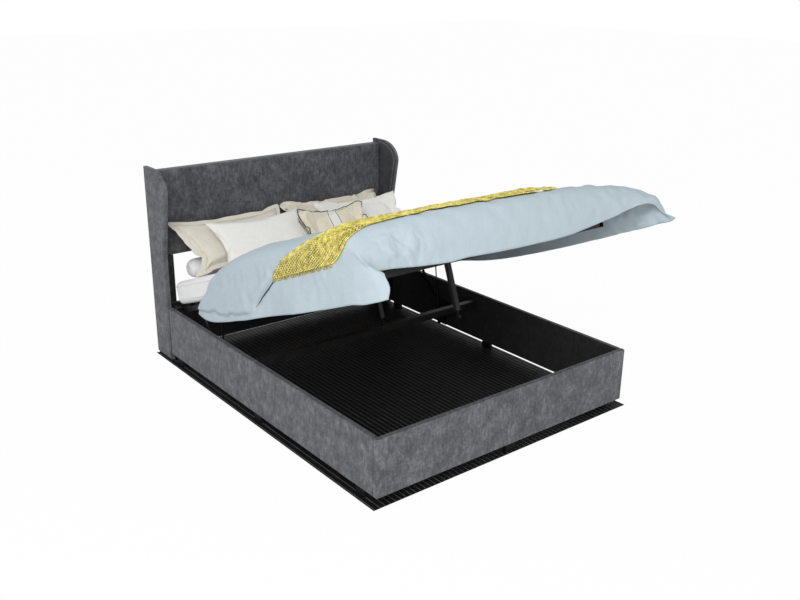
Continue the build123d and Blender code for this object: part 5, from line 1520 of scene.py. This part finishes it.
def face_outline(node, axis, place):
    """Ordered border of one flat face of a CAD piece."""
    mesh = frame["nodes"][node].data
    mesh.calc_loop_triangles()
    borders = set()
    for triangle in mesh.loop_triangles:
        corners = [tuple(round(v, 5) for v in mesh.vertices[i].co) for i in triangle.vertices]
        if any(abs(corner[axis] - place) > FACE_TOLERANCE for corner in corners):
            continue
        for edge in zip(corners, corners[1:] + corners[:1]):
            if edge[::-1] in borders:
                borders.remove(edge[::-1])
            else:
                borders.add(edge)
    follow = dict(borders)
    loop = [min(follow)]
    while len(loop) < len(follow) and follow[loop[-1]] != loop[0]:
        loop.append(follow[loop[-1]])
    return np.array(loop)


def even_loop(loop, pitch):
    """Points at even steps round a closed line."""
    closed = np.concatenate([loop, loop[:1]])
    reach = reach_along(closed)
    count = int(reach[-1] / pitch)
    wanted = np.arange(count) / count * reach[-1]
    return np.stack([np.interp(wanted, reach, closed[:, k]) for k in range(3)], axis=-1)


def inset(loop, facing, distance):
    """A line on the same face, moved in from its border."""
    forward = np.roll(loop, -1, axis=0) - np.roll(loop, 1, axis=0)
    forward /= np.maximum(np.linalg.norm(forward, axis=1, keepdims=True), 1e-9)
    inward = np.cross(facing, forward)
    if ((loop.mean(axis=0) - loop) * inward).sum() < 0:
        inward = -inward
    return loop + inward * distance


def thread_tree(material):
    """One short arched stitch on every point."""
    work, given, result = start_repeats("top_stitches", THREAD_SIZES)
    size = work.add("ShaderNodeCombineXYZ", {"Y": given["Run"], "Z": given["Thread Radius"]})
    arch = bent_yarn(work, size.outputs[0], 4, given["Thread Radius"],
                     (0, -0.5, -0.6), (0, 0, 2.2), (0, 0.5, -0.6))
    return repeat_on_points(work, given, result, arch, material)


def sewn_edge(name, node, place, way, tree, material):
    """A welt and its stitches round one side of a board, whose face looks along X."""
    facing = np.array((way, 0, 0), dtype=float)
    border = even_loop(face_outline(node, 0, place), BORDER_STEP)
    line = even_loop(inset(border, facing, WELT_INSET), WELT_STEP) + facing * WELT_RADIUS * 0.45
    welt = make_piece(f"{name}_welt", *tube_along(line, WELT_RADIUS), material)
    line = even_loop(inset(border, facing, STITCH_INSET), STITCH_PITCH)
    forward = np.roll(line, -1, axis=0) - line
    forward /= np.linalg.norm(forward, axis=1, keepdims=True)
    places = line + facing * THREAD_SIZES["Thread Radius"] * 0.3
    facings = np.tile(facing, (len(line), 1))
    stitches = grown(f"{name}_stitches", places, facings, forward, tree, THREAD_SIZES)
    for piece in (welt, stitches):
        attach(piece, "base")


def thread_finish():
    shade = Shader("grey_thread")
    color = shade.ramp(shade.noise(shade.place(), 900.0, 2.0), (0.3, THREAD_DARK), (0.7, THREAD_LIGHT))
    return shade.finish(color, 0.6)


thread = thread_tree(thread_finish())
# Painted highlight: the welt is the same velvet painted lighter.
welt_velvet = velvet_finish("welt_velvet", dim=1.45)
for side, sign in (("left", -1), ("right", 1)):
    for face, place, way in (("outer", wing_high.x, sign), ("inner", wing_low.x, -sign)):
        sewn_edge(f"wing_{side}_{face}", f"headboard_wing_{side}", sign * place, way, thread, welt_velvet)
